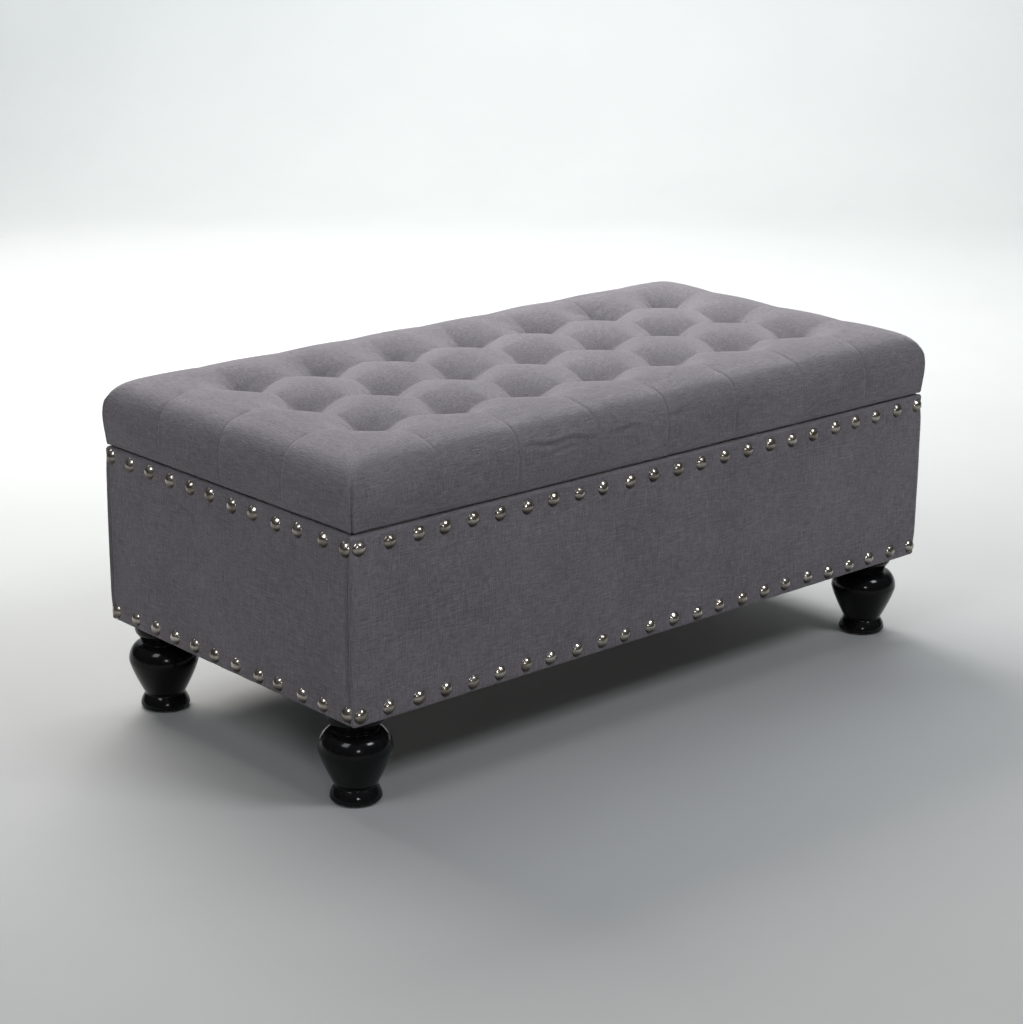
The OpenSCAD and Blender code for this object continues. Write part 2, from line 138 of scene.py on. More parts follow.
class Shader:
    """A node material whose textures run in the piece's own coordinates, in metres."""

    def __init__(self, name, **values):
        self.material = bpy.data.materials.new(name)
        self.material.use_nodes = True
        self.tree = self.material.node_tree
        self.tree.nodes.clear()
        out = self.tree.nodes.new("ShaderNodeOutputMaterial")
        self.bsdf = self.tree.nodes.new("ShaderNodeBsdfPrincipled")
        self.tree.links.new(self.bsdf.outputs[0], out.inputs[0])
        self.where = self.tree.nodes.new("ShaderNodeTexCoord").outputs["Object"]
        for key, value in values.items():
            self.put(self.bsdf.inputs[key.replace("_", " ")], value)

    def put(self, socket, value):
        if isinstance(value, bpy.types.NodeSocket):
            self.tree.links.new(value, socket)
        elif socket.type == "RGBA" and len(value) == 3:
            socket.default_value = (*value, 1.0)
        else:
            socket.default_value = value

    def node(self, kind, output, **values):
        """Adds a node with values for its inputs, where _ stands for a space, and returns one output."""
        node = self.tree.nodes.new("ShaderNode" + kind)
        for key, value in values.items():
            self.put(node.inputs[key.replace("_", " ")], value)
        return node.outputs[output]

    def noise(self, scale, detail=2.0, rough=0.5, where=None):
        where = where or self.where
        return self.node("TexNoise", "Fac", Vector=where, Scale=scale, Detail=detail, Roughness=rough)

    def cells(self, scale, randomness=1.0):
        """Distance from the middle of the nearest cell."""
        return self.node("TexVoronoi", "Distance", Vector=self.where, Scale=scale, Randomness=randomness)

    def grain(self, across, along, axis, detail, rough):
        """Noise with one scale along an axis and another across it; with no axis it is even."""
        scale = [across] * 3
        if axis is not None:
            scale[axis] = along
        return self.noise(1.0, detail, rough, self.node("Mapping", 0, Vector=self.where, Scale=scale))

    def math(self, op, a, b=0.0, clamp=False):
        node = self.tree.nodes.new("ShaderNodeMath")
        node.operation, node.use_clamp = op, clamp
        self.put(node.inputs[0], a)
        self.put(node.inputs[1], b)
        return node.outputs[0]

    def add(self, a, b, clamp=False):
        return self.math("ADD", a, b, clamp)

    def times(self, a, b):
        return self.math("MULTIPLY", a, b)

    def span(self, value, low, high, to_low=0.0, to_high=1.0):
        return self.node("MapRange", 0, Value=value, From_Min=low, From_Max=high,
                         To_Min=to_low, To_Max=to_high)

    def mix(self, fac, a, b):
        node = self.tree.nodes.new("ShaderNodeMix")
        node.data_type = "RGBA"
        self.put(node.inputs["Factor"], fac)
        self.put(node.inputs[6], a)
        self.put(node.inputs[7], b)
        return node.outputs[2]

    def bump(self, height, strength, distance, below=None):
        values = {"Normal": below} if below else {}
        bumped = self.node("Bump", 0, Height=height, Strength=strength, Distance=distance, **values)
        self.put(self.bsdf.inputs["Normal"], bumped)
        return bumped

    def colour(self, value):
        self.put(self.bsdf.inputs["Base Color"], value)

    def rough(self, value):
        self.put(self.bsdf.inputs["Roughness"], value)


def linen(name, dark, light):
    """Tightly woven linen-look cloth: crossing slubby threads, a soft nap and a few pale specks."""
    s = Shader(name, Specular_IOR_Level=0.12, Sheen_Weight=0.38, Sheen_Roughness=0.34,
               Sheen_Tint=(0.90, 0.84, 0.88))
    threads, slubs = [], []
    for long_axis in range(3):
        threads.append(s.grain(1150.0, 60.0, long_axis, 1.0, 0.6))
        strength = 0.5 if long_axis == 2 else 1.0
        slubs.append(s.span(s.grain(620.0, 55.0, long_axis, 1.0, 0.5), 0.63, 0.80, 0.0, strength))
    weave = s.span(s.add(s.add(threads[0], threads[1]), threads[2]), 1.05, 1.95)
    slub = s.add(s.add(slubs[0], slubs[1]), slubs[2], clamp=True)
    tone = s.add(s.times(weave, 0.68), s.times(s.noise(11.0, 3.0, 0.55), 0.32))
    cloth = s.mix(s.span(tone, 0.3, 0.7), dark, light)
    cloth = s.mix(s.times(slub, 0.4), cloth, tuple(1.5 * c for c in light))
    speck = s.span(s.noise(520.0, 0.0, 0.5), 0.862, 0.885)
    s.colour(s.mix(s.times(speck, 0.45), cloth, (0.6, 0.58, 0.58)))
    s.rough(s.span(weave, 0.0, 1.0, 0.95, 0.82))
    under = s.bump(s.add(weave, s.times(slub, 0.8)), 0.8, 0.5 * MM)
    s.bump(s.noise(85.0, 3.0, 0.6), 0.2, 1.0 * MM, under)
    return s.material


def felt(name, dark, light):
    """Spun non-woven cloth: a pressed grid of dots over matted fibres."""
    s = Shader(name, Specular_IOR_Level=0.2, Sheen_Weight=0.12)
    fibres = s.noise(900.0, 4.0, 0.7)
    pressed = s.span(s.cells(480.0, 0.25), 0.15, 0.4)
    tone = s.times(fibres, pressed)
    s.colour(s.mix(s.span(tone, 0.1, 0.6), dark, light))
    s.rough(s.span(pressed, 0.0, 1.0, 0.6, 0.92))
    s.bump(s.add(pressed, s.times(fibres, 0.5)), 0.5, 0.25 * MM)
    return s.material


def wood(name, dark, light, along, plies=False):
    """Sawn wood with its grain along one axis; plies adds the layers of plywood at its edges."""
    s = Shader(name)
    grain = s.grain(34.0, 2.2, along, 6.0, 0.62)
    pores = s.grain(420.0, 14.0, along, 3.0, 0.6)
    tone = s.add(s.times(grain, 0.7), s.times(pores, 0.3))
    colour = s.mix(s.span(tone, 0.36, 0.64), dark, light)
    if plies:
        wave = s.tree.nodes.new("ShaderNodeTexWave")
        wave.bands_direction = "Z"
        wave.inputs["Scale"].default_value = 105.0
        wave.inputs["Distortion"].default_value = 0.4
        s.put(wave.inputs["Vector"], s.where)
        colour = s.mix(s.times(wave.outputs["Fac"], 0.25), colour, dark)
    s.colour(colour)
    s.rough(s.span(pores, 0.3, 0.7, 0.62, 0.82))
    s.bump(pores, 0.35, 0.3 * MM)
    return s.material


def metal(name, colour, worn, rough=0.3, brushed=None, dents=0.0, metallic=1.0, tarnish_and_shade=None):
    """Metal with fine scratches and smudges; brushed is the axis its grain runs along.

    The last argument is a dark colour, partly patina and partly painted shade, that comes in where the
    mesh's point attribute of the same name says.
    """
    s = Shader(name, Metallic=metallic)
    scratch = s.grain(700.0, 30.0, brushed, 3.0, 0.65)
    smudge = s.noise(60.0, 3.0, 0.55)
    tone = s.mix(s.span(smudge, 0.4, 0.68), colour, worn)
    scratched = s.span(scratch, 0.3, 0.7, rough * 0.75, rough * 1.25)
    roughness = s.add(scratched, s.span(smudge, 0.35, 0.7, 0.0, 0.08))
    # where the attribute says, the colour darkens: patina, and painted shade on the nails' rims and
    # undersides
    if tarnish_and_shade:
        where = s.tree.nodes.new("ShaderNodeAttribute")
        where.attribute_name = "tarnish_and_shade"
        tone = s.mix(where.outputs["Fac"], tone, tarnish_and_shade)
        roughness = s.add(roughness, s.times(where.outputs["Fac"], 0.12))
    s.colour(tone)
    s.rough(roughness)
    height = s.add(s.times(scratch, 0.25), s.times(s.noise(230.0, 1.0, 0.5), dents))
    s.bump(height, 0.3, 0.4 * MM)
    return s.material


def lacquer(name):
    """Black gloss lacquer over turned wood, with a little orange peel and dust."""
    s = Shader(name, Specular_IOR_Level=0.15, Coat_Weight=0.07, Coat_Roughness=0.06)
    dust = s.span(s.noise(160.0, 6.0, 0.7), 0.58, 0.8)
    s.colour(s.mix(s.times(dust, 0.25), (0.0045, 0.0045, 0.005), (0.05, 0.05, 0.05)))
    s.rough(s.add(s.span(s.noise(45.0, 4.0, 0.6), 0.35, 0.7, 0.1, 0.2), s.times(dust, 0.25)))
    peel = s.bump(s.noise(190.0, 2.0, 0.5), 0.12, 0.35 * MM)
    turned = s.grain(8.0, 520.0, 2, 2.0, 0.5)
    s.bump(turned, 0.06, 0.3 * MM, peel)
    return s.material


def moulded(name, dark, light, rough):
    s = Shader(name)
    grain = s.noise(1300.0, 2.0, 0.6)
    s.colour(s.mix(grain, dark, light))
    s.rough(s.span(grain, 0.3, 0.7, rough - 0.08, rough + 0.08))
    s.bump(grain, 0.2, 0.1 * MM)
    return s.material


def open_foam(name):
    s = Shader(name)
    cells = s.cells(700.0)
    s.colour(s.mix(s.span(cells, 0.0, 0.5), (0.5, 0.4, 0.2), (0.83, 0.76, 0.52)))
    s.rough(0.95)
    s.bump(cells, 0.6, 0.6 * MM)
    return s.material


CLOTH = linen("upholstery_linen", (0.098, 0.091, 0.099), (0.182, 0.168, 0.181))
BLACK_FELT = felt("black_lining", (0.008, 0.008, 0.009), (0.045, 0.045, 0.05))
DUST_FELT = felt("dust_cover_cloth", (0.006, 0.006, 0.006), (0.03, 0.03, 0.032))
PLY, PLY_END = (
    wood(f"plywood_{'xy'[k]}", (0.30, 0.19, 0.10), (0.58, 0.42, 0.25), k, plies=True) for k in (0, 1)
)
PINE, PINE_CROSS = (wood(f"softwood_{'xy'[k]}", (0.42, 0.27, 0.13), (0.72, 0.55, 0.34), k) for k in (0, 1))
LACQUER = lacquer("black_lacquer")
# the dark colour at the end is patina together with painted shade on the nails' rims and undersides
NICKEL = metal("antique_nickel", (0.56, 0.52, 0.47), (0.25, 0.215, 0.175), 0.17, dents=3.6,
               tarnish_and_shade=(0.055, 0.045, 0.036))
STEEL = metal("hinge_steel", (0.58, 0.57, 0.55), (0.42, 0.40, 0.38), 0.3, brushed=0)
RIVET = metal("rivet_steel", (0.6, 0.6, 0.6), (0.4, 0.4, 0.4), 0.28)
ZINC = metal("zinc_screws", (0.62, 0.60, 0.54), (0.46, 0.43, 0.36), 0.32)
PAINTED = metal("black_stay_paint", (0.028, 0.028, 0.03), (0.05, 0.05, 0.052), 0.42, brushed=1,
                metallic=0.35)
GLIDE = moulded("glide_plastic", (0.02, 0.02, 0.02), (0.04, 0.04, 0.04), 0.5)
WASHER = moulded("anchor_plastic", (0.03, 0.03, 0.03), (0.06, 0.06, 0.06), 0.45)
FOAM = open_foam("cut_foam")
TWINE = felt("twisted_twine", (0.5, 0.46, 0.38), (0.8, 0.76, 0.68))


def dress(piece, material, body, nodes):
    """Gives a piece its material, the CAD body it rides on and the nodes it stands for."""
    piece.data.materials.append(material)
    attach(piece, body)
    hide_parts(*nodes)


# ---------------- the tufted lid

lid_lo, lid_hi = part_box("lid_cover")
LID_X, LID_Y = lid_hi.x, lid_hi.y
LID_Z0, LID_Z1 = lid_lo.z, lid_hi.z
TUFTS_X, TUFTS_Y = 7, 3
PITCH_X, PITCH_Y = 2 * LID_X / (TUFTS_X + 1), 2 * LID_Y / (TUFTS_Y + 1)
LINES_X = PITCH_X * (np.arange(TUFTS_X) - (TUFTS_X - 1) / 2)
LINES_Y = PITCH_Y * (np.arange(TUFTS_Y) - (TUFTS_Y - 1) / 2)
TUFTS = np.array([(x, y) for x in LINES_X for y in LINES_Y])
TUFT_SHIFT = rng.uniform(-1.6, 1.6, TUFTS.shape) * MM
TUFT_MORE = rng.uniform(-1.5, 1.5, len(TUFTS))   # how much deeper each tuft is pulled, in millimetres
TUFT_TURN = rng.uniform(0, 2 * math.pi, len(TUFTS))
STEP = PITCH_X / 42
FOAM_STEP = PITCH_X / 16
EDGE = 0.120          # the strip along the lid's edge in which the mesh adapts to the rounded outline
CORNER = 12 * STEP    # how much of each edge, in the plain grid, becomes the rounded corner
TOP_INSET = 0.043     # where the rolled edge ends and the tufted top begins
CREST = LID_Z1 + 2.0 * MM
CORNER_RADII = ((0, 0.3, 0.5, 0.7, 1.0), (0.0055, 0.0065, 0.009, 0.015, 0.026))
LINE_WIDTH = 0.022    # how far from a tuft line the mesh is drawn closer together
VALLEY_SOFT = 1.6 * MM
FADE = 0.040          # how fast a valley dies out past the outer tufts
CONE = 0.020          # radius of the cone that a tuft pulls
SETTLE_FRAMES = 14
SETTLE_CAP = 2.6 * MM

# the rolled edge from the lid's lower edge up: outward from the box's face, and height above the lower edge
ROLL = np.array([
    (2.2, 0.0), (2.9, 2.0), (3.5, 7.0), (4.3, 15.0), (5.4, 25.0), (6.2, 35.0), (6.6, 45.0), (6.3, 54.0),
    (5.0, 62.5), (1.8, 70.0), (-2.6, 76.3), (-9.0, 81.8), (-17.5, 85.6), (-28.0, 87.9), (-43.0, 89.3),
]) * MM


def plain_line(half, lines, step):
    """Plain coordinates from -half to half, about a step apart and closer together by the tuft lines."""
    v = np.linspace(-half, half, round(2 * half / step) + 1)
    for line in lines:
        d = v - line
        t = np.clip(np.abs(d) / LINE_WIDTH, 0, 1)
        v = np.where(t < 1, line + d * (0.3 + 0.7 * t * t * (3 - 2 * t)), v)
    return v


def distances(line):
    """How far along the line each of its points lies."""
    return np.concatenate([[0], np.cumsum(np.linalg.norm(np.diff(line, axis=0), axis=1))])


def resampled(line, count):
    """The line as a smooth curve of evenly spaced points."""
    t = distances(line)
    slope = np.gradient(line, t, axis=0)
    fine = np.linspace(0, t[-1], 40 * count)
    i = np.clip(np.searchsorted(t, fine) - 1, 0, len(t) - 2)
    h = (t[i + 1] - t[i])[:, None]
    s = ((fine - t[i]) / (t[i + 1] - t[i]))[:, None]
    curve = ((1 + 2 * s) * (1 - s) ** 2 * line[i] + s * (1 - s) ** 2 * h * slope[i]
             + s * s * (3 - 2 * s) * line[i + 1] + s * s * (s - 1) * h * slope[i + 1])
    d = distances(curve)
    even = np.linspace(0, d[-1], count)
    return np.stack([np.interp(even, d, curve[:, k]) for k in range(2)], -1)


def edge_point(along, half, half_across, inset, radius):
    """A point of the rounded outline from its place along a plain edge: (along, across), across outward."""
    s = half - np.abs(along)
    sign = np.where(along < 0, -1.0, 1.0)
    straight = half - inset - radius
    t = np.clip((s - CORNER) / (EDGE - CORNER), 0, 1)
    lying = np.where(s >= EDGE, np.abs(along), straight + (half - EDGE - straight) * t)
    angle = np.clip(1 - s / CORNER, 0, 1) * math.pi / 4
    arc = s < CORNER
    u = np.where(arc, straight + radius * np.sin(angle), lying)
    v = half_across - inset - np.where(arc, radius * (1 - np.cos(angle)), 0.0)
    return sign * u, v


def outline(step):
    """Places along the lid's plain edge, anticlockwise from the front left corner, and each one's side."""
    x, y = plain_line(LID_X, LINES_X, step), plain_line(LID_Y, LINES_Y, step)
    along = np.concatenate([x[:-1], y[:-1], -x[:-1], -y[:-1]])
    side = np.repeat([0, 1, 2, 3], [len(x) - 1, len(y) - 1] * 2)
    return along, side


def ring(along, side, inset, radius):
    """The rounded outline with that inset and corner radius, as XY points."""
    fx, fy = edge_point(along, LID_X, LID_Y, inset, radius)
    ex, ey = edge_point(along, LID_Y, LID_X, inset, radius)
    return np.stack([np.choose(side, [fx, ey, fx, -ey]), np.choose(side, [-fy, ex, fy, ex])], -1)


def rim_of(grid):
    """Values round the rim of a grid, anticlockwise from its first corner."""
    return np.concatenate([grid[0, :-1], grid[:-1, -1], grid[-1, :0:-1], grid[:0:-1, 0]])


def put_round(grid, ring_values):
    """Writes values, anticlockwise from the first corner, round the rim of a grid."""
    ny, nx = grid.shape[0] - 1, grid.shape[1] - 1
    grid[0, :nx], grid[:ny, nx] = ring_values[:nx], ring_values[nx:nx + ny]
    grid[ny, :0:-1], grid[:0:-1, 0] = ring_values[nx + ny:2 * nx + ny], ring_values[2 * nx + ny:]


def top_grid(edge, step):
    """XY points of the top's grid, whose outer points are edge, the innermost ring."""
    def squeezed(v, half):
        s = half - np.abs(v)
        inner = TOP_INSET + s * (EDGE - TOP_INSET) / EDGE
        return np.where(s >= EDGE, v, np.sign(v) * (half - inner))

    x = squeezed(plain_line(LID_X, LINES_X, step), LID_X)
    y = squeezed(plain_line(LID_Y, LINES_Y, step), LID_Y)
    grid = np.stack(np.broadcast_arrays(x[None, :], y[:, None]), -1).copy()
    shift = np.zeros_like(grid)
    put_round(shift, edge)
    shift -= grid                   # only its rim is used
    last = round(EDGE * (len(x) - 1) / (2 * LID_X))
    for i in range(last + 1):       # ease the outer strip onto the rounded outline
        weight = (1 - i / last) ** 2 * (1 + 2 * i / last)
        for rows, moves in ((grid, shift), (grid.swapaxes(0, 1), shift.swapaxes(0, 1))):
            along = np.arange(rows.shape[1])
            share = weight * (np.minimum(along, along[::-1]) >= i)[:, None]
            rows[i] += share * moves[0]
            rows[-1 - i] += share * moves[-1]
    put_round(grid, edge)
    return grid


PLEATS = 2 * (TUFTS_X + TUFTS_Y)      # front and left end first, then back and right end
OPEN_PLEAT = TUFTS_X + TUFTS_Y + 5
PLEAT_SIDE = rng.choice([-1.0, 1.0], PLEATS)
PLEAT_START = rng.uniform(0.070, 0.100, PLEATS)
PLEAT_END = rng.uniform(0.175, 0.235, PLEATS)
PLEAT_DRIFT = rng.uniform(-5, 5, PLEATS) * MM
PLEAT_START[OPEN_PLEAT] = 0.012       # one pleat behind the back right tufts stands open
PLEAT_FIRM = np.ones(PLEATS)
PLEAT_FIRM[:TUFTS_X] = 1.15           # crisper along the front, softer on the left end
PLEAT_FIRM[TUFTS_X:TUFTS_X + TUFTS_Y] = 0.45


def bell_curve(x, middle, width):
    return np.exp(-((x - middle) / width) ** 2)


def pleats(across, beyond, far_side, lines, first):
    """Creases from the outer tufts to the lid's edge and down its sides, one lip over the other."""
    depth = np.zeros_like(across)
    for i, line in enumerate(lines):
        for side in (0, 1):
            k = first + i + side * PLEATS // 2
            run = np.clip(beyond - 0.05, 0, None)
            n = (across - line - PLEAT_DRIFT[k] * (run / 0.15) ** 1.5) * PLEAT_SIDE[k]
            begun = np.clip((beyond - PLEAT_START[k]) / 0.025, 0, 1)
            left = np.clip((PLEAT_END[k] + 0.03 - beyond) / 0.03, 0, 1)
            on = begun * left * (far_side == (side == 1)) * (beyond > 0)
            shape = 1.2 * bell_curve(n, 0, 0.0011) + 0.25 * np.exp(-np.abs(n) / 0.004)
            shape -= 0.35 * bell_curve(n, 0.0034, 0.0024)
            depth += on * PLEAT_FIRM[k] * shape
    return depth


def scallop(depth, fade, near, pitch, beyond):
    """The hollows between the rolled edge's bulges, in line with the tufts."""
    between = np.clip(1 - near / (pitch / 2), 0, 1) ** 1.7
    return depth * (1 - fade) * between * np.exp(-np.clip(beyond - 0.1, 0, None) / 0.05)


def pull(x, y, beyond_x, beyond_y):
    """How far tufting draws the cloth in; beyond_x and beyond_y are distances past the outer tufts."""
    near_x = np.hypot(np.abs(x[:, None] - LINES_X).min(1), VALLEY_SOFT)
    near_y = np.hypot(np.abs(y[:, None] - LINES_Y).min(1), VALLEY_SOFT)
    fade_x, fade_y = np.exp(-(beyond_x / FADE) ** 1.6), np.exp(-(beyond_y / FADE) ** 1.6)
    dip_x = np.clip(1 - np.maximum(near_x, beyond_x) / (PITCH_X / 2), 0, 1)
    dip_y = np.clip(1 - np.maximum(near_y, beyond_y) / (PITCH_Y / 2), 0, 1)
    depth = 9.6 * (dip_x ** 2.0 * fade_y + dip_y ** 2.0 * fade_x) + 17.0 * (dip_x * dip_y) ** 1.35
    front_deeper = np.where(y > 0, 1.4, 2.6)
    depth += scallop(front_deeper, fade_y, near_x, PITCH_X, beyond_y) * (beyond_x <= PITCH_X / 2)
    depth += scallop(2.6, fade_x, near_y, PITCH_Y, beyond_x) * (beyond_y <= PITCH_Y / 2)
    depth += pleats(x, beyond_y, y > 0, LINES_X, 0) + pleats(y, beyond_x, x > 0, LINES_Y, TUFTS_X)
    reach = 0.5 * math.hypot(PITCH_X, PITCH_Y)
    outside = np.hypot(beyond_x, beyond_y) >= reach
    for k, (tuft_x, tuft_y) in enumerate(TUFTS + TUFT_SHIFT):
        r = np.hypot(x - tuft_x, y - tuft_y)
        close = (r < reach) & ~outside
        rr, a = r[close], np.arctan2(y[close] - tuft_y, x[close] - tuft_x)
        cone = (1 + (rr / CONE) ** 2) ** -1.2 - (1 + (reach / CONE) ** 2) ** -1.2
        wave = np.sin(9 * a + TUFT_TURN[k] + 1.2 * np.sin(3 * a + k))
        depth[close] += (5.5 + TUFT_MORE[k]) * cone + 0.7 * wave * bell_curve(rr, 0.022, 0.009)
    return depth * MM


def edge_sag(grid):
    """How much lower the top lies towards its edges, as it rolls over."""
    x, y = (9.0 * MM * np.clip(1 - s / 0.070, 0, 1) ** 2 for s in from_edges(grid))
    return np.maximum(x, y) + 0.35 * np.minimum(x, y)


def corner_fall(grid):
    """How much the corners fall away."""
    x, y = (np.clip(1 - s / 0.11, 0, 1) for s in from_edges(grid))
    return 3.5 * MM * (x * y) ** 1.5


def from_edges(grid):
    return LID_X - np.abs(grid[..., 0]), LID_Y - np.abs(grid[..., 1])


def past_tufts(grid):
    """How far out past the outer tufts each point lies, along X and along Y."""
    past_x = np.clip(np.abs(grid[..., 0]) - LINES_X[-1], 0, None)
    past_y = np.clip(np.abs(grid[..., 1]) - LINES_Y[-1], 0, None)
    return past_x, past_y


def pulled(grid, past_x, past_y):
    """pull() for a grid of points."""
    flat = pull(grid[..., 0].ravel(), grid[..., 1].ravel(), past_x.ravel(), past_y.ravel())
    return flat.reshape(grid.shape[:2])


def lid_shell(step, inward):
    """The rolled edge and the tufted top as two grids of points, drawn in by inward."""
    along, side = outline(step)
    roll = resampled(ROLL, 2 * round(0.075 / step) + 1)
    length = distances(roll)
    share = length / length[-1]
    rings = []
    for (out, up), radius in zip(roll, np.interp(share, *CORNER_RADII)):
        xy = ring(along, side, -out, radius)
        rings.append(np.column_stack([xy, np.full(len(xy), LID_Z0 + up)]))
    rings = np.array(rings)
    top = top_grid(rings[-1][:, :2], step)
    top = np.dstack([top, CREST - edge_sag(top)])
    rings[:, :, 2] -= ((rings[-1, 0, 2] - top[0, (top.shape[1] - 1) // 2, 2]) * share ** 4)[:, None]

    # on the rolled edge, the distance past the tufts is measured over the curve
    run = (length[-1] - length)[:, None] * np.ones(len(along))
    on_end = np.isin(side, (1, 3))[None, :]
    past_x, past_y = past_tufts(rings)
    past_x = np.where(on_end, LID_X - TOP_INSET - LINES_X[-1] + run, past_x)
    past_y = np.where(on_end, past_y, LID_Y - TOP_INSET - LINES_Y[-1] + run)
    ring_depth = pulled(rings, past_x, past_y)
    top_depth = pulled(top, *past_tufts(top))

    # each pillow stands a little differently, and the corners fall away
    rise = smooth_noise(np.vstack([rings.reshape(-1, 3), top.reshape(-1, 3)]), 9.0, 3) * 1.3 * MM
    on_rings = rings.shape[0] * rings.shape[1]
    up = rings[..., 2] - LID_Z0
    low = np.clip(up / 0.02, 0, 1)
    ring_depth = (ring_depth - rise[:on_rings].reshape(up.shape)) * low
    ring_depth += wrinkles(rings, side) * low + seam(up, along, side)
    top_depth -= rise[on_rings:].reshape(top.shape[:2])
    fall = corner_fall(rings) * np.clip((up - 0.035) / 0.05, 0, 1)
    rings = rings - grid_normals(rings, wrap=True) * (ring_depth + inward)[..., None]
    rings[..., 2] += edge_wave(rings) * np.clip(1 - share / 0.1, 0, 1)[:, None] - fall
    top = top - top_normals(top) * (top_depth + inward)[..., None]
    top[..., 2] -= corner_fall(top)

    # the last ring is the top's rim, exactly
    rings += (rim_of(top) - rings[-1])[None] * np.clip((share - 0.72) / 0.28, 0, 1)[:, None, None] ** 2
    return rings, top


def edge_wave(grid):
    """The lid's lower edge isn't quite straight: it rises a little here and there."""
    p = grid.reshape(-1, 3) * (1, 1, 0)
    return (0.5 + 0.5 * smooth_noise(p, 15.0, 61)).reshape(grid.shape[:2]) * 1.1 * MM


def top_normals(top):
    """Upward, leaning out towards the rolled edge."""
    lean = [0.35 * np.clip(1 - (s - TOP_INSET) / 0.04, 0, 1) for s in from_edges(top)]
    n = np.ones_like(top)
    n[..., :2] = np.sign(top[..., :2]) * np.stack(lean, -1)
    return n / np.linalg.norm(n, axis=-1, keepdims=True)


# short folds of slack cloth on the lid's sides: side, middle along it, height, half length, depth, lean
FOLDS = (
    (0, -0.187, 0.054, 0.062, 3.0, -0.046), (0, -0.175, 0.0455, 0.032, 1.8, -0.05),
    (0, -0.080, 0.051, 0.040, 1.4, -0.05), (0, 0.020, 0.056, 0.034, 1.0, 0.02),
    (0, -0.330, 0.047, 0.024, 1.0, 0.04), (0, 0.250, 0.044, 0.040, 0.5, -0.02),
    (3, 0.060, 0.050, 0.030, 0.5, 0.03), (1, -0.05, 0.048, 0.045, 0.8, 0.02),
    (2, 0.18, 0.050, 0.05, 0.9, -0.02), (2, -0.24, 0.046, 0.035, 0.7, 0.03),
)


def wrinkles(rings, side):
    depth = np.zeros(rings.shape[:2])
    for which, middle, height, half, deep, lean in FOLDS:
        run = rings[..., 0 if which in (0, 2) else 1] - middle
        taper = np.clip(1 - (run / half) ** 2, 0, 1)
        line = height + lean * run + 0.0016 * np.sin(run / 0.011)
        across = (rings[..., 2] - LID_Z0 - line) / 0.0029
        fold = bell_curve(across, 0, 1) - 0.75 * bell_curve(across, 2.1, 1)
        fold -= 0.3 * bell_curve(across, -2.2, 1)
        depth += np.where(side[None, :] == which, deep * taper * fold, 0)
    return depth * MM


def seam(up, along, side):
    """The sewn seam up each corner of the lid."""
    half = np.where(np.isin(side, (0, 2)), LID_X, LID_Y)
    from_corner = np.minimum(half - along, half + along)
    stitch = 1 + 0.25 * np.sin(up / 0.0011)
    shape = 2.0 * bell_curve(from_corner, 0, 0.009)[None] * stitch
    shape = shape - 0.9 * bell_curve(from_corner, 0.022, 0.010)[None]
    return np.clip((0.069 - up) / 0.010, 0, 1) * shape * MM


def top_quads(strip_rows, cols, nx, ny):
    """Faces and point numbers of the top's grid, whose rim is the last row of the strip round it."""
    index = np.empty((ny + 1, nx + 1), int)
    put_round(index, (strip_rows - 1) * cols + np.arange(cols))
    index[1:ny, 1:nx] = strip_rows * cols + np.arange((ny - 1) * (nx - 1)).reshape(ny - 1, nx - 1)
    corners = (index[:-1, :-1], index[:-1, 1:], index[1:, 1:], index[1:, :-1])
    return np.stack(corners, -1).reshape(-1, 4), index


def lid_points(strip, top):
    return np.vstack([strip.reshape(-1, 3), top[1:-1, 1:-1].reshape(-1, 3)])


def lid_mesh(name, strip, top, floor=False):
    """The strip round the lid and its top as one mesh; floor adds a face under the strip."""
    rows, cols = strip.shape[:2]
    quads = top_quads(rows, cols, top.shape[1] - 1, top.shape[0] - 1)[0]
    faces = np.vstack([grid_faces(rows, cols, wrap=True), quads]).tolist()
    if floor:
        faces.append(list(range(cols))[::-1])
    return add_mesh(name, lid_points(strip, top), faces)


def doubled(grid, axis, wrap=False):
    """The grid with a point put midway between each two along the axis."""
    grid = np.moveaxis(grid, axis, 0)
    out = np.empty((2 * len(grid), *grid.shape[1:]))
    out[::2], out[1::2] = grid, (grid + np.roll(grid, -1, 0)) / 2
    return np.moveaxis(out if wrap else out[:-1], 0, axis)


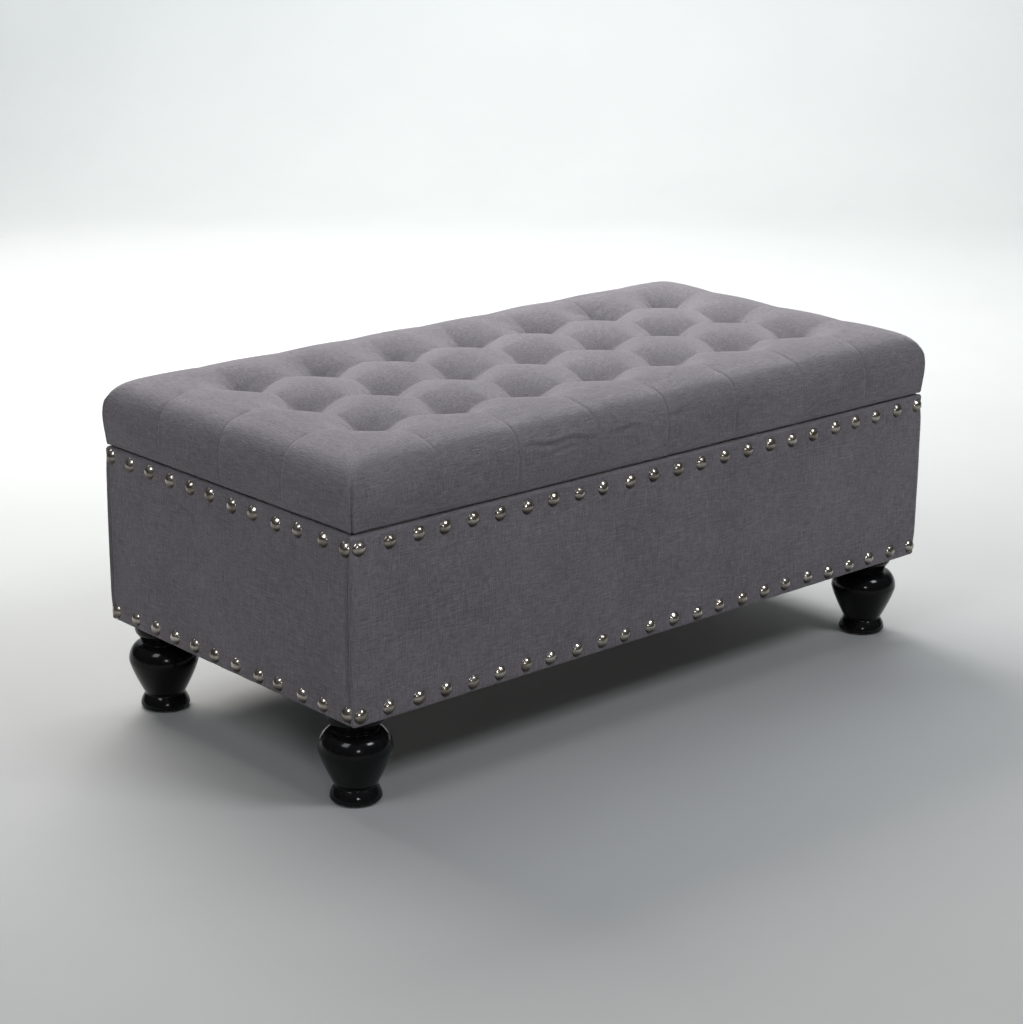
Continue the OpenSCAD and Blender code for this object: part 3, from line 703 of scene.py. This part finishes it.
def settled(rings, top):
    """Settles the cover with Cloth on every second point; the tufts and the lower edge hold it."""
    few_rings, few_top = rings[::2, ::2], top[::2, ::2]
    rows, cols = few_rings.shape[:2]
    index = top_quads(rows, cols, few_top.shape[1] - 1, few_top.shape[0] - 1)[1]
    points = lid_points(few_rings, few_top)
    piece = lid_mesh("settling_cloth", few_rings, few_top)
    from_tuft = np.linalg.norm(points[:, None, :2] - (TUFTS + TUFT_SHIFT), axis=2).min(1)
    held = (from_tuft < 0.010) | (points[:, 2] < LID_Z0 + 0.005)
    group = piece.vertex_groups.new(name="held")
    group.add(np.nonzero(held)[0].tolist(), 1.0, "REPLACE")
    cloth = piece.modifiers.new("settle", "CLOTH")
    cloth.settings.quality = 5
    cloth.settings.mass = 0.3
    cloth.settings.tension_stiffness = cloth.settings.compression_stiffness = 18.0
    cloth.settings.bending_stiffness = 0.8
    cloth.settings.use_pressure = True
    cloth.settings.uniform_pressure_force = 4.0
    cloth.settings.effector_weights.gravity = 0.0
    cloth.settings.vertex_group_mass = "held"
    cloth.point_cache.frame_start, cloth.point_cache.frame_end = 1, SETTLE_FRAMES
    for frame_number in range(1, SETTLE_FRAMES + 1):
        scene.frame_set(frame_number)
    after = piece.evaluated_get(bpy.context.evaluated_depsgraph_get()).data
    moved = np.empty(3 * len(points))
    after.vertices.foreach_get("co", moved)
    move = moved.reshape(-1, 3) - points
    scene.frame_set(1)
    bpy.data.objects.remove(piece)
    far = np.linalg.norm(move, axis=1, keepdims=True)
    move *= SETTLE_CAP / (SETTLE_CAP + far)
    on_rings = move[:rows * cols].reshape(rows, cols, 3)
    return rings + doubled(doubled(on_rings, 0), 1, wrap=True), top + doubled(doubled(move[index], 0), 1)


def build_lid_cover():
    rings, top = lid_shell(STEP, 0.0)
    rings, top = settled(rings, top)
    # the cloth turns under the board and ends on its lower face
    along, side = outline(STEP)
    under = []
    for inset in (0.029, 0.016, 0.008, 0.0032):
        xy = ring(along, side, inset, max(0.0, 0.006 - inset))
        turned = np.column_stack([xy, np.full(len(xy), LID_Z0)])
        turned[:, 2] += edge_wave(turned[None])[0] * max(0.0, 1 - inset / 0.008)
        under.append(turned)
    piece = lid_mesh("tufted_lid_cover", np.concatenate([under, rings]), top)
    shell = piece.modifiers.new("thickness", "SOLIDIFY")
    shell.thickness, shell.offset = 1.1 * MM, -1.0
    dress(piece, CLOTH, "lid", ("lid_cover",))


def build_foam():
    """The slab under the cover: the same shape a little smaller, cut flat where it lies on the board."""
    rings, top = lid_shell(FOAM_STEP, 3.2 * MM)
    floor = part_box("lid_board")[1].z + 0.2 * MM
    rings = rings[rings[:, 0, 2] > floor + 4 * MM]
    strip = np.concatenate([rings[:1] * (1, 1, 0) + (0, 0, floor), rings])
    for grid in (strip, top):
        grid[..., 2] = np.maximum(grid[..., 2], floor)
    piece = lid_mesh("foam_slab", strip, top, floor=True)
    dress(piece, FOAM, "lid", ("lid_foam",))


def build_buttons():
    """Cloth-covered buttons at the bottom of the tufts."""
    lo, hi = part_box("tuft_buttons")
    radius, rise = (hi.x - lo.x - (TUFTS_X - 1) * PITCH_X) / 2, hi.z - lo.z
    profile = [(0, 0), (radius * 0.86, 0), (radius * 0.97, rise * 0.1), (radius, rise * 0.24)]
    for a in np.linspace(0.2, 1.5, 9):
        profile.append((radius * math.cos(a), rise * (0.24 + 0.76 * math.sin(a))))
    profile.append((0, rise))
    points, faces = lathe(profile, 40)
    turn = np.arctan2(points[:, 1], points[:, 0])
    rim = np.clip((np.hypot(points[:, 0], points[:, 1]) / radius - 0.55) / 0.4, 0, 1)
    parts = []
    for k, (x, y) in enumerate(TUFTS):
        p = points.copy()
        p[:, :2] *= (1 - 0.012 * rim * (1 + np.sin(14 * turn + k)))[:, None]
        p[:, 2] += p[:, :2] @ rng.uniform(-0.06, 0.06, 2) + 0.6 * MM
        parts.append((p + (x, y, lo.z), faces))
    piece = add_mesh("covered_buttons", *joined(parts))
    dress(piece, CLOTH, "lid", ("tuft_buttons",))


# ---------------- the box's cloth

box_lo, box_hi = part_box("cover_front")
PUFF = 4.4 * MM       # how far the wadded cloth stands out past its flat size
BOX_X, BOX_Z0, BOX_Z1 = box_hi.x + PUFF, box_lo.z, box_hi.z
BOX_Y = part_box("cover_back")[1].y + PUFF
SEAM = 0.009          # the covers meet on the end faces, this far from the corners
CORNER_R = 0.0048
COVER_T = 5.5 * MM
COVER_STEP = 4 * MM
RETURN = 17.2 * MM    # how far the cloth is turned over the box's edges, from its outer face
EDGE_R = 4.6 * MM     # radius of the covers' upper and lower edges
NAIL_DENT = 2.0 * MM
CAD_NAIL_R = 9.5 * MM
ROW_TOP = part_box("nails_front")[1].z - CAD_NAIL_R
ROW_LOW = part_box("nails_front")[0].z + CAD_NAIL_R
OUTWARD = {"front": (0, -1), "back": (0, 1), "left": (-1, 0), "right": (1, 0)}


def rounded(s, inset):
    """XY on the box's outline and the normal there, and the outline's whole length.

    s is the distance anticlockwise from the middle of the front, and inset moves the points inwards.
    """
    arc = CORNER_R * math.pi / 2
    halves = (BOX_X - CORNER_R, BOX_Y - CORNER_R)
    total = 4 * (sum(halves) + arc)
    t = np.mod(s + halves[0], total)
    xy, normal = np.zeros((2, len(s), 2))
    for side in range(4):           # a straight run and the corner after it
        half, across = halves[side % 2], halves[1 - side % 2]
        facing = (side - 1) * math.pi / 2
        turn = facing + np.clip(t - 2 * half, 0, arc) / CORNER_R
        out = np.stack([np.cos(turn), np.sin(turn)], -1)
        run = (np.clip(t, 0, 2 * half) - half)[:, None] * (-math.sin(facing), math.cos(facing))
        here = run + np.multiply(across, (math.cos(facing), math.sin(facing))) + (CORNER_R - inset) * out
        on = (np.abs(t - half - arc / 2) <= half + arc / 2 + 1e-9)[:, None]
        xy, normal = np.where(on, here, xy), np.where(on, out, normal)
        t = t - 2 * half - arc
    return xy, normal, total


def cover_profile():
    """The cloth's section, outer side first: (inset, height) from the top return to the lower one."""
    r, back = EDGE_R, RETURN
    outer = [(back - t, BOX_Z1) for t in np.linspace(0, back - r, 4)[:-1]]
    outer += [(r - r * math.sin(a), BOX_Z1 - r + r * math.cos(a)) for a in np.linspace(0, math.pi / 2, 6)]
    face = np.linspace(BOX_Z1 - r, BOX_Z0 + r, round((BOX_Z1 - BOX_Z0) / COVER_STEP))
    outer += [(0.0, z) for z in face[1:-1]]
    outer += [(r - r * math.cos(a), BOX_Z0 + r - r * math.sin(a)) for a in np.linspace(0, math.pi / 2, 6)]
    outer += [(t, BOX_Z0) for t in np.linspace(r, back, 4)[1:]]
    t, lip, chamfer = COVER_T, 1.1 * MM, 1.5 * MM
    inner = [(back, BOX_Z0 + lip), (t + chamfer, BOX_Z0 + lip), (t, BOX_Z0 + lip + chamfer)]
    inner += [(t, z) for z in np.linspace(BOX_Z0 + 0.02, BOX_Z1 - 0.02, 10)]
    inner += [(t, BOX_Z1 - lip - chamfer), (t + chamfer, BOX_Z1 - lip), (back, BOX_Z1 - lip)]
    return np.array(outer), np.array(inner)


# the upper rows in view are set clearly out of line: millimetres up, in the order of rising X or Y
HAND_SET = {
    ("left", 0): (-1.0, 0.6, 0.8, -1.6, 0.8, 0.2, 3.4, 2.8, 2.4, 2.9, 2.8, 4.6),
    ("front", 0): (0.6, 0.4, 0.8, 0.9, 1.2, 0.2, -0.6, 0.6, -0.4, -0.6, -1.6, -0.7,
                   -1.6, -1.8, -0.6, -0.5, 0.1, -1.8, -1.4, 0.0, 0.6, 0.8, 2.2, 1.5),
}


def nail_places(side):
    """(place along the side, height) of each nail on a side, in the order of rising X or Y."""
    if side in ("front", "back"):
        count, half, edge = 24, BOX_X, 0.012
    else:
        count, half, edge = 12, BOX_Y, 0.014
    even = np.linspace(edge - half, half - edge, count)
    r = np.random.default_rng(11 + SIDES.index(side))
    loose = (1.8 if side == "left" else 1.2) * MM
    places = []
    for row, z in enumerate((ROW_TOP, ROW_LOW)):
        shift = r.normal(0, loose, count).clip(-2.6 * MM, 2.6 * MM)
        shift[[0, -1]] *= 0.3
        drop = r.normal(0, 0.7 * MM, count).clip(-1.6 * MM, 1.6 * MM)
        if (side, row) in HAND_SET:
            drop = np.array(HAND_SET[side, row]) * MM
        places.append(np.stack([even + shift, z + drop], -1))
    return np.concatenate(places)


def nail_dents(p, normal):
    """How far the nails press in the cloth at points p of one height."""
    dents = np.zeros(len(p))
    for side, outward in OUTWARD.items():
        u = p[:, 0 if outward[0] == 0 else 1]
        places = nail_places(side)
        gap2 = (u[:, None] - places[:, 0]) ** 2 + (p[:, 2:] - places[:, 1]) ** 2
        dent = np.exp(-gap2 / (2 * (9.0 * MM) ** 2)).sum(1).clip(0, 1)
        dents += np.where(normal @ outward > 0.7, dent * (NAIL_DENT - 0.4 * MM), 0)
    return dents


def build_cover(side, s_low, s_high):
    outer, inner = cover_profile()
    s = np.linspace(s_low, s_high, round((s_high - s_low) / COVER_STEP) + 1)
    close = np.linspace(0, 5 * MM, 5)       # closer rows at the two seams
    s = np.unique(np.concatenate([s, s_low + close, s_high - close]))
    from_seam = np.minimum(s - s_low, s_high - s)
    groove = 2.1 * MM * bell_curve(from_seam, 0, 1.9 * MM)
    groove -= 0.6 * MM * bell_curve(from_seam, 4.8 * MM, 2.2 * MM)
    grid = []
    for k, (inset, z) in enumerate(np.vstack([outer, inner])):
        xy, normal, _ = rounded(s, inset)
        limit = np.array([BOX_X - inset, BOX_Y - inset])
        p = np.column_stack([np.clip(xy, -limit, limit), np.full(len(s), z)])
        if k < len(outer):
            up, down = z - BOX_Z0, BOX_Z1 - z
            face = np.clip(up / 0.012, 0, 1) * np.clip(down / 0.012, 0, 1)
            crown = math.sin(math.pi * np.clip(up / (up + down), 0, 1))
            out = face * (0.55 * MM * smooth_noise(p, 14.0, 21) + 0.9 * MM * crown)
            p[:, :2] += normal * (out - nail_dents(p, normal) - groove)[:, None]
        grid.append(p)
    rows, cols = len(grid), len(s)
    faces = (grid_faces(rows + 1, cols) % (rows * cols)).tolist()
    faces.append([i * cols for i in range(rows)])
    faces.append([i * cols + cols - 1 for i in reversed(range(rows))])
    piece = add_mesh(f"box_cover_{side}", np.concatenate(grid), faces)
    dress(piece, CLOTH, "base", (f"cover_{side}",))


def build_covers():
    total = rounded(np.zeros(1), 0.0)[2]
    wrap = SEAM - CORNER_R
    corner = BOX_X - CORNER_R + CORNER_R * math.pi / 2      # where the right end's flat part begins
    near = corner + wrap
    far = corner + 2 * (BOX_Y - CORNER_R) - wrap
    build_cover("front", -near, near)
    build_cover("right", near, far)
    build_cover("back", far, total - far)
    build_cover("left", total - far, total - near)


# ---------------- nails and legs

NAIL_R, NAIL_RISE = 10.2 * MM, 6.8 * MM
NAIL_SUNK = 0.25 * MM


def nail_solid():
    """One nail, its point down -Z and its domed head up +Z."""
    ball = (NAIL_R ** 2 + NAIL_RISE ** 2) / (2 * NAIL_RISE)
    top = math.asin(NAIL_R / ball)
    profile = np.array([(0, -9), (0.7, -8), (1.2, -6), (1.2, -0.2)]) * MM
    profile = [*profile, (NAIL_R * 0.93, -0.2 * MM), (NAIL_R, 0.25 * MM), (NAIL_R, 0.6 * MM)]
    for a in np.linspace(top * 0.97, top * 0.08, 11):
        profile.append((ball * math.sin(a), NAIL_RISE - ball + ball * math.cos(a)))
    profile.append((0, NAIL_RISE))
    return lathe(profile, 32)


def build_nails(side):
    points, faces = nail_solid()
    r = np.random.default_rng(31 + SIDES.index(side))
    out, up = np.array([*OUTWARD[side], 0]), np.array([0, 0, 1])
    turn = np.array([np.cross(up, out), up, out])
    along = np.abs(np.cross(up, out))
    face = BOX_Y if along[0] else BOX_X
    parts = []
    for u, z in nail_places(side):
        tilt = r.normal(0, 0.035, 2).clip(-0.08, 0.08)
        p = points.copy()
        low = 0.35 * MM * smooth_noise(p + r.uniform(0, 9, 3), 160.0, 5, 1)
        p[:, 2] += np.where(p[:, 2] > 1 * MM, low, 0)
        p[:, 2] += p[:, :2] @ tilt - NAIL_SUNK
        parts.append((p @ turn + out * (face - NAIL_DENT) + along * u + up * z, faces))
    piece = add_mesh(f"trim_nails_{side}", *joined(parts))
    # darker round the rim, partly antique patina and partly painted contact shadow, and darker on the
    # underside, which is painted shade
    rim = np.clip((np.hypot(points[:, 0], points[:, 1]) / NAIL_R - 0.78) / 0.20, 0, 1)
    under = np.clip(-points[:, 1] / NAIL_R / 0.5, 0, 1)
    tarnish_and_shade = np.clip(0.75 * rim ** 2 + 0.9 * under, 0, 1)
    layer = piece.data.attributes.new("tarnish_and_shade", "FLOAT", "POINT")
    layer.data.foreach_set("value", np.tile(tarnish_and_shade, len(parts)).astype(np.float32))
    dress(piece, NICKEL, "base", (f"nails_{side}",))


# a turned leg, in millimetres: radius and height of each part
FOOT, WAIST, BULB, NECK = (32.5, 5.5), (26.0, 20.5), (46.0, 67.5), (29.2, 91.5)
FLARE, PLATE, BOLT_HOLE = (28.9, 93.4), (37.0, 110.0), (4.2, 80.0)


def leg_profile():
    """(radius, height) of a turned leg, from the foot's underside up."""
    def curve(start, end, steps, shape):
        t = np.arange(steps) / steps
        radius, height = shape(t)
        return [*zip(start[0] + (end[0] - start[0]) * radius, start[1] + (end[1] - start[1]) * height)]

    bell = curve(FOOT, WAIST, 14, lambda t: (t ** 1.7, t))
    belly = curve(WAIST, BULB, 30, lambda t: (1 - (1 - t) ** 1.25, t))
    quarter = np.linspace(0, math.pi / 2, 24)
    width, height = BULB[0] - NECK[0], NECK[1] - BULB[1]
    shoulder = [(NECK[0] + width * math.cos(a), BULB[1] + height * math.sin(a)) for a in quarter]
    flare = curve(FLARE, PLATE, 14, lambda t: ((1 - np.cos(math.pi * t)) / 2, t))
    p = [(0, 2), (28.4, 2), (30.0, 2.2), (31.3, 2.9), (32.1, 4.0), *bell, *belly, *shoulder]
    p += [(28.5, 92.0), (28.1, 92.6), (28.4, 93.1), *flare]
    p += [(37, 110.2), (37.2, 111), (37.2, 116.4), (36.7, 117.1), (BOLT_HOLE[0], 117.2), BOLT_HOLE, (0, 79)]
    return np.array(p, float) * MM


def build_legs():
    for corner in CORNERS:
        lo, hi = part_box(f"leg_{corner}")
        centre = ((lo.x + hi.x) / 2, (lo.y + hi.y) / 2)
        piece = add_mesh(f"turned_leg_{corner}", *lathe(leg_profile(), 112, centre))
        dress(piece, LACQUER, "base", (f"leg_{corner}",))


# ---------------- linings

def slack_cloth(node, step, level, slack, ripple, fade, above, below):
    """A thin closed sheet over a node's box, from above to below its middle surface.

    That surface is at the level along the edges, and slack and the ripple (amount, scale, seed) are added
    to it over the distance fade from them.
    """
    lo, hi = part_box(node)
    nx, ny = round((hi.x - lo.x) / step), round((hi.y - lo.y) / step)
    x, y = np.meshgrid(np.linspace(lo.x, hi.x, nx + 1), np.linspace(lo.y, hi.y, ny + 1))
    amount, scale, seed = ripple
    flat = np.stack([x.ravel(), y.ravel(), 0 * x.ravel()], -1)
    lift = slack + amount * smooth_noise(flat, scale, seed).reshape(x.shape)
    from_edge = np.minimum(np.minimum(x - lo.x, hi.x - x), np.minimum(y - lo.y, hi.y - y))
    z = level + np.clip(from_edge / fade, 0, 1) * lift
    points = np.vstack([np.dstack([x, y, h]).reshape(-1, 3) for h in (z + above, z - below)])
    count = x.size
    index = np.arange(count).reshape(x.shape)
    rim = rim_of(index)
    after = np.roll(rim, -1)
    sides = np.stack([rim + count, after + count, after, rim], -1)
    return points, np.vstack([grid_faces(*x.shape), grid_faces(*x.shape, count, flip=True), sides])


def build_flat_linings():
    lo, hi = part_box("floor_lining")
    cloth = slack_cloth("floor_lining", 0.010, lo.z + 0.4 * MM, 0.7 * MM, (0.7 * MM, 16, 41), 0.03,
                        0.5 * MM, 0.3 * MM)
    piece = add_mesh("floor_lining_cloth", *cloth)
    dress(piece, BLACK_FELT, "base", ("floor_lining",))

    lo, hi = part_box("lid_lining")
    cloth = slack_cloth("lid_lining", 0.010, hi.z - 0.1 * MM, -0.2 * MM, (-0.15 * MM, 12, 43), 0.02,
                        0, 0.5 * MM)
    piece = add_mesh("lid_lining_cloth", *cloth)
    dress(piece, BLACK_FELT, "lid", ("lid_lining",))

    lo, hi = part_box("dust_cover")
    cloth = slack_cloth("dust_cover", 0.012, hi.z, -1.0 * MM, (-0.5 * MM, 9, 45), 0.16, 0, 0.6 * MM)
    piece = add_mesh("dust_cover_cloth", *cloth)
    dress(piece, DUST_FELT, "base", ("dust_cover",))


def build_wall_lining():
    """One strip round the inside, with a soft ripple on the long walls that dies out at its edges."""
    lo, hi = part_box("wall_lining")
    x, y = hi.x, hi.y
    run_x, run_y = np.linspace(-x, x, 99)[:-1], np.linspace(-y, y, 49)[:-1]
    px = np.concatenate([run_x, 0 * run_y + x, -run_x, 0 * run_y - x])
    py = np.concatenate([0 * run_x - y, run_y, 0 * run_x + y, -run_y])
    on_long = np.repeat([1, 0, 1, 0], [98, 48, 98, 48])
    layers = []
    for depth in (0.1 * MM, 0.9 * MM):
        layer = []
        for h in np.linspace(lo.z, hi.z, 21):
            p = np.stack([px, py, np.full(len(px), h)], -1)
            fade = np.sin(math.pi * (h - lo.z) / (hi.z - lo.z)) * np.clip((x - np.abs(px)) / 0.05, 0, 1)
            ripple = 0.4 * MM * (smooth_noise(p, 18.0, 51) + 0.5) * fade * on_long
            d = depth + np.clip(ripple, 0, None)
            layer.append(np.stack([np.clip(px, d - x, x - d), np.clip(py, d - y, y - d), p[:, 2]], -1))
        layers.append(np.array(layer))
    section = np.concatenate([layers[0], layers[1][::-1]])
    rows, cols = section.shape[:2]
    faces = np.array(grid_faces(rows + 1, cols, wrap=True)) % (rows * cols)
    piece = add_mesh("wall_lining_cloth", section.reshape(-1, 3), faces)
    dress(piece, BLACK_FELT, "base", ("wall_lining",))


# ---------------- CAD nodes that stay

def finish_cad():
    """Materials and eased edges for the CAD nodes that are seen; soften holds widths in millimetres."""
    looks = {
        "front_panel": PLY, "back_panel": PLY, "floor_panel": PLY, "lid_board": PLY,
        "left_end_panel": PLY_END, "right_end_panel": PLY_END,
        "front_rail": PINE, "back_rail": PINE, "centre_rail": PINE_CROSS,
        "panel_screws": ZINC, "hinge_box_screws": ZINC, "hinge_lid_screws": ZINC,
        "stay_wall_screws": ZINC, "stay_lid_screws": ZINC, "hanger_bolts": ZINC, "tee_nuts": ZINC,
        "hinge_pins": STEEL, "stay_wall_rivets": RIVET, "stay_lid_rivets": RIVET,
        "glides": GLIDE, "tuft_anchors": WASHER, "tuft_ties": TWINE,
    }
    for corner in CORNERS:
        looks[f"leg_block_{corner}"] = PINE
    for side in ("left", "right"):
        looks[f"hinge_box_leaf_{side}"] = looks[f"hinge_lid_leaf_{side}"] = STEEL
        looks[f"stay_elbow_rivet_{side}"] = RIVET
        for part in ("wall_bracket", "lid_bracket", "lower_arm", "upper_arm"):
            looks[f"stay_{part}_{side}"] = PAINTED
    soften = {"glides": 0.5, "tuft_anchors": 0.25}
    for name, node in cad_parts.items():
        if node.hide_render:
            continue
        node.data.materials.clear()
        node.data.materials.append(looks[name])
        if name in ("tuft_ties", "hanger_bolts"):
            continue
        thin = looks[name] in (PAINTED, STEEL, RIVET, ZINC)
        bevel = node.modifiers.new("eased_edges", "BEVEL")
        bevel.width = soften.get(name, 0.35 if thin else 0.8) * MM
        bevel.segments, bevel.limit_method = 2, "ANGLE"
        bevel.angle_limit = math.radians(40)
        bevel.harden_normals = False


# ---------------- floor, light, camera

CAMERA_YAW = math.radians(41.90)


def build_stage():
    """A floor that bends up into a wall behind the object, seen from the camera."""
    size, back, bend, wall_top = 30.0, 3.4, 1.2, 6.0
    turn = np.linspace(0, math.pi / 2, 13)[1:]
    profile = [(-size, 0.0), (back, 0.0)]
    profile += [(back + bend * math.sin(a), bend - bend * math.cos(a)) for a in turn]
    profile.append((back + bend, wall_top))
    rows = []
    u = np.array([math.sin(CAMERA_YAW), math.cos(CAMERA_YAW)])
    v = np.array([math.cos(CAMERA_YAW), -math.sin(CAMERA_YAW)])
    for d, z in profile:
        rows.append([(*(u * d + v * w), z) for w in (-size, size)])
    floor = add_mesh("studio_floor", np.array(rows).reshape(-1, 3), grid_faces(len(profile), 2, flip=True))
    s = Shader("studio_floor_paint", Roughness=0.75)
    s.colour(s.mix(s.noise(3.0, 4.0, 0.6), (0.31, 0.31, 0.306), (0.335, 0.335, 0.33)))
    floor.data.materials.append(s.material)


def area_light(name, place, target, size, energy, colour):
    light = bpy.data.lights.new(name, "AREA")
    light.shape, light.size, light.size_y = "RECTANGLE", *size
    light.energy, light.color = energy, colour
    lamp = bpy.data.objects.new(name, light)
    lamp.location = place
    lamp.rotation_euler = (Vector(target) - Vector(place)).to_track_quat("-Z", "Y").to_euler()
    scene.collection.objects.link(lamp)


def build_lights():
    world = bpy.data.worlds.new("studio")
    scene.world = world
    world.use_nodes = True
    tree = world.node_tree
    up = tree.nodes.new("ShaderNodeSeparateXYZ")
    tree.links.new(tree.nodes.new("ShaderNodeTexCoord").outputs["Generated"], up.inputs[0])
    ramp = tree.nodes.new("ShaderNodeValToRGB")
    ramp.color_ramp.elements[0].position, ramp.color_ramp.elements[0].color = 0.0, (0.30, 0.29, 0.28, 1)
    ramp.color_ramp.elements[1].position, ramp.color_ramp.elements[1].color = 0.75, (0.95, 0.97, 1.0, 1)
    tree.links.new(up.outputs["Z"], ramp.inputs[0])
    tree.links.new(ramp.outputs[0], tree.nodes["Background"].inputs[0])
    tree.nodes["Background"].inputs[1].default_value = 0.18
    area_light("ceiling", (0.4, 2.3, 2.5), (0, 0.05, 0.3), (2.4, 1.1), 125, (1.0, 0.975, 0.945))
    area_light("window_left", (-2.3, -0.5, 2.5), (0, 0, 0.3), (0.9, 1.2), 29, (0.90, 0.95, 1.0))
    area_light("window_front", (0.6, -2.4, 2.8), (0, 0, 0.3), (0.9, 0.8), 53, (0.90, 0.95, 1.0))
    area_light("lamp", (-2.0, -3.0, 1.35), (0, 0, 0.2), (0.5, 0.35), 13, (1.0, 0.98, 0.95))
    area_light("backdrop_wash", (1.1, 1.3, 3.6), (2.9, 3.3, 1.4), (3.4, 1.2), 415, (0.94, 0.985, 1.0))
    scene.view_settings.view_transform = "Standard"
    scene.view_settings.look = "None"


def build_camera():
    """The photograph's viewing angle: a long lens, looking down on the front left corner."""
    yaw, pitch, roll = CAMERA_YAW, math.radians(17.12), math.radians(0.42)
    forward = Vector((math.sin(yaw) * math.cos(pitch), math.cos(yaw) * math.cos(pitch), -math.sin(pitch)))
    level = Vector((math.cos(yaw), -math.sin(yaw), 0))
    right = level * math.cos(roll) + level.cross(forward) * math.sin(roll)
    up = right.cross(forward)
    data = bpy.data.cameras.new("camera")
    data.sensor_width, data.lens = 36.0, 87.36
    data.clip_start, data.clip_end = 0.05, 60
    camera = bpy.data.objects.new("camera", data)
    turn = Matrix((right, up, -forward)).transposed().to_4x4()
    camera.matrix_world = Matrix.Translation((-2.1895, -2.4018, 1.224)) @ turn
    scene.collection.objects.link(camera)
    scene.camera = camera


build_lid_cover()
build_foam()
build_buttons()
build_covers()
for side_name in SIDES:
    build_nails(side_name)
build_legs()
build_flat_linings()
build_wall_lining()
finish_cad()
build_stage()
build_lights()
build_camera()
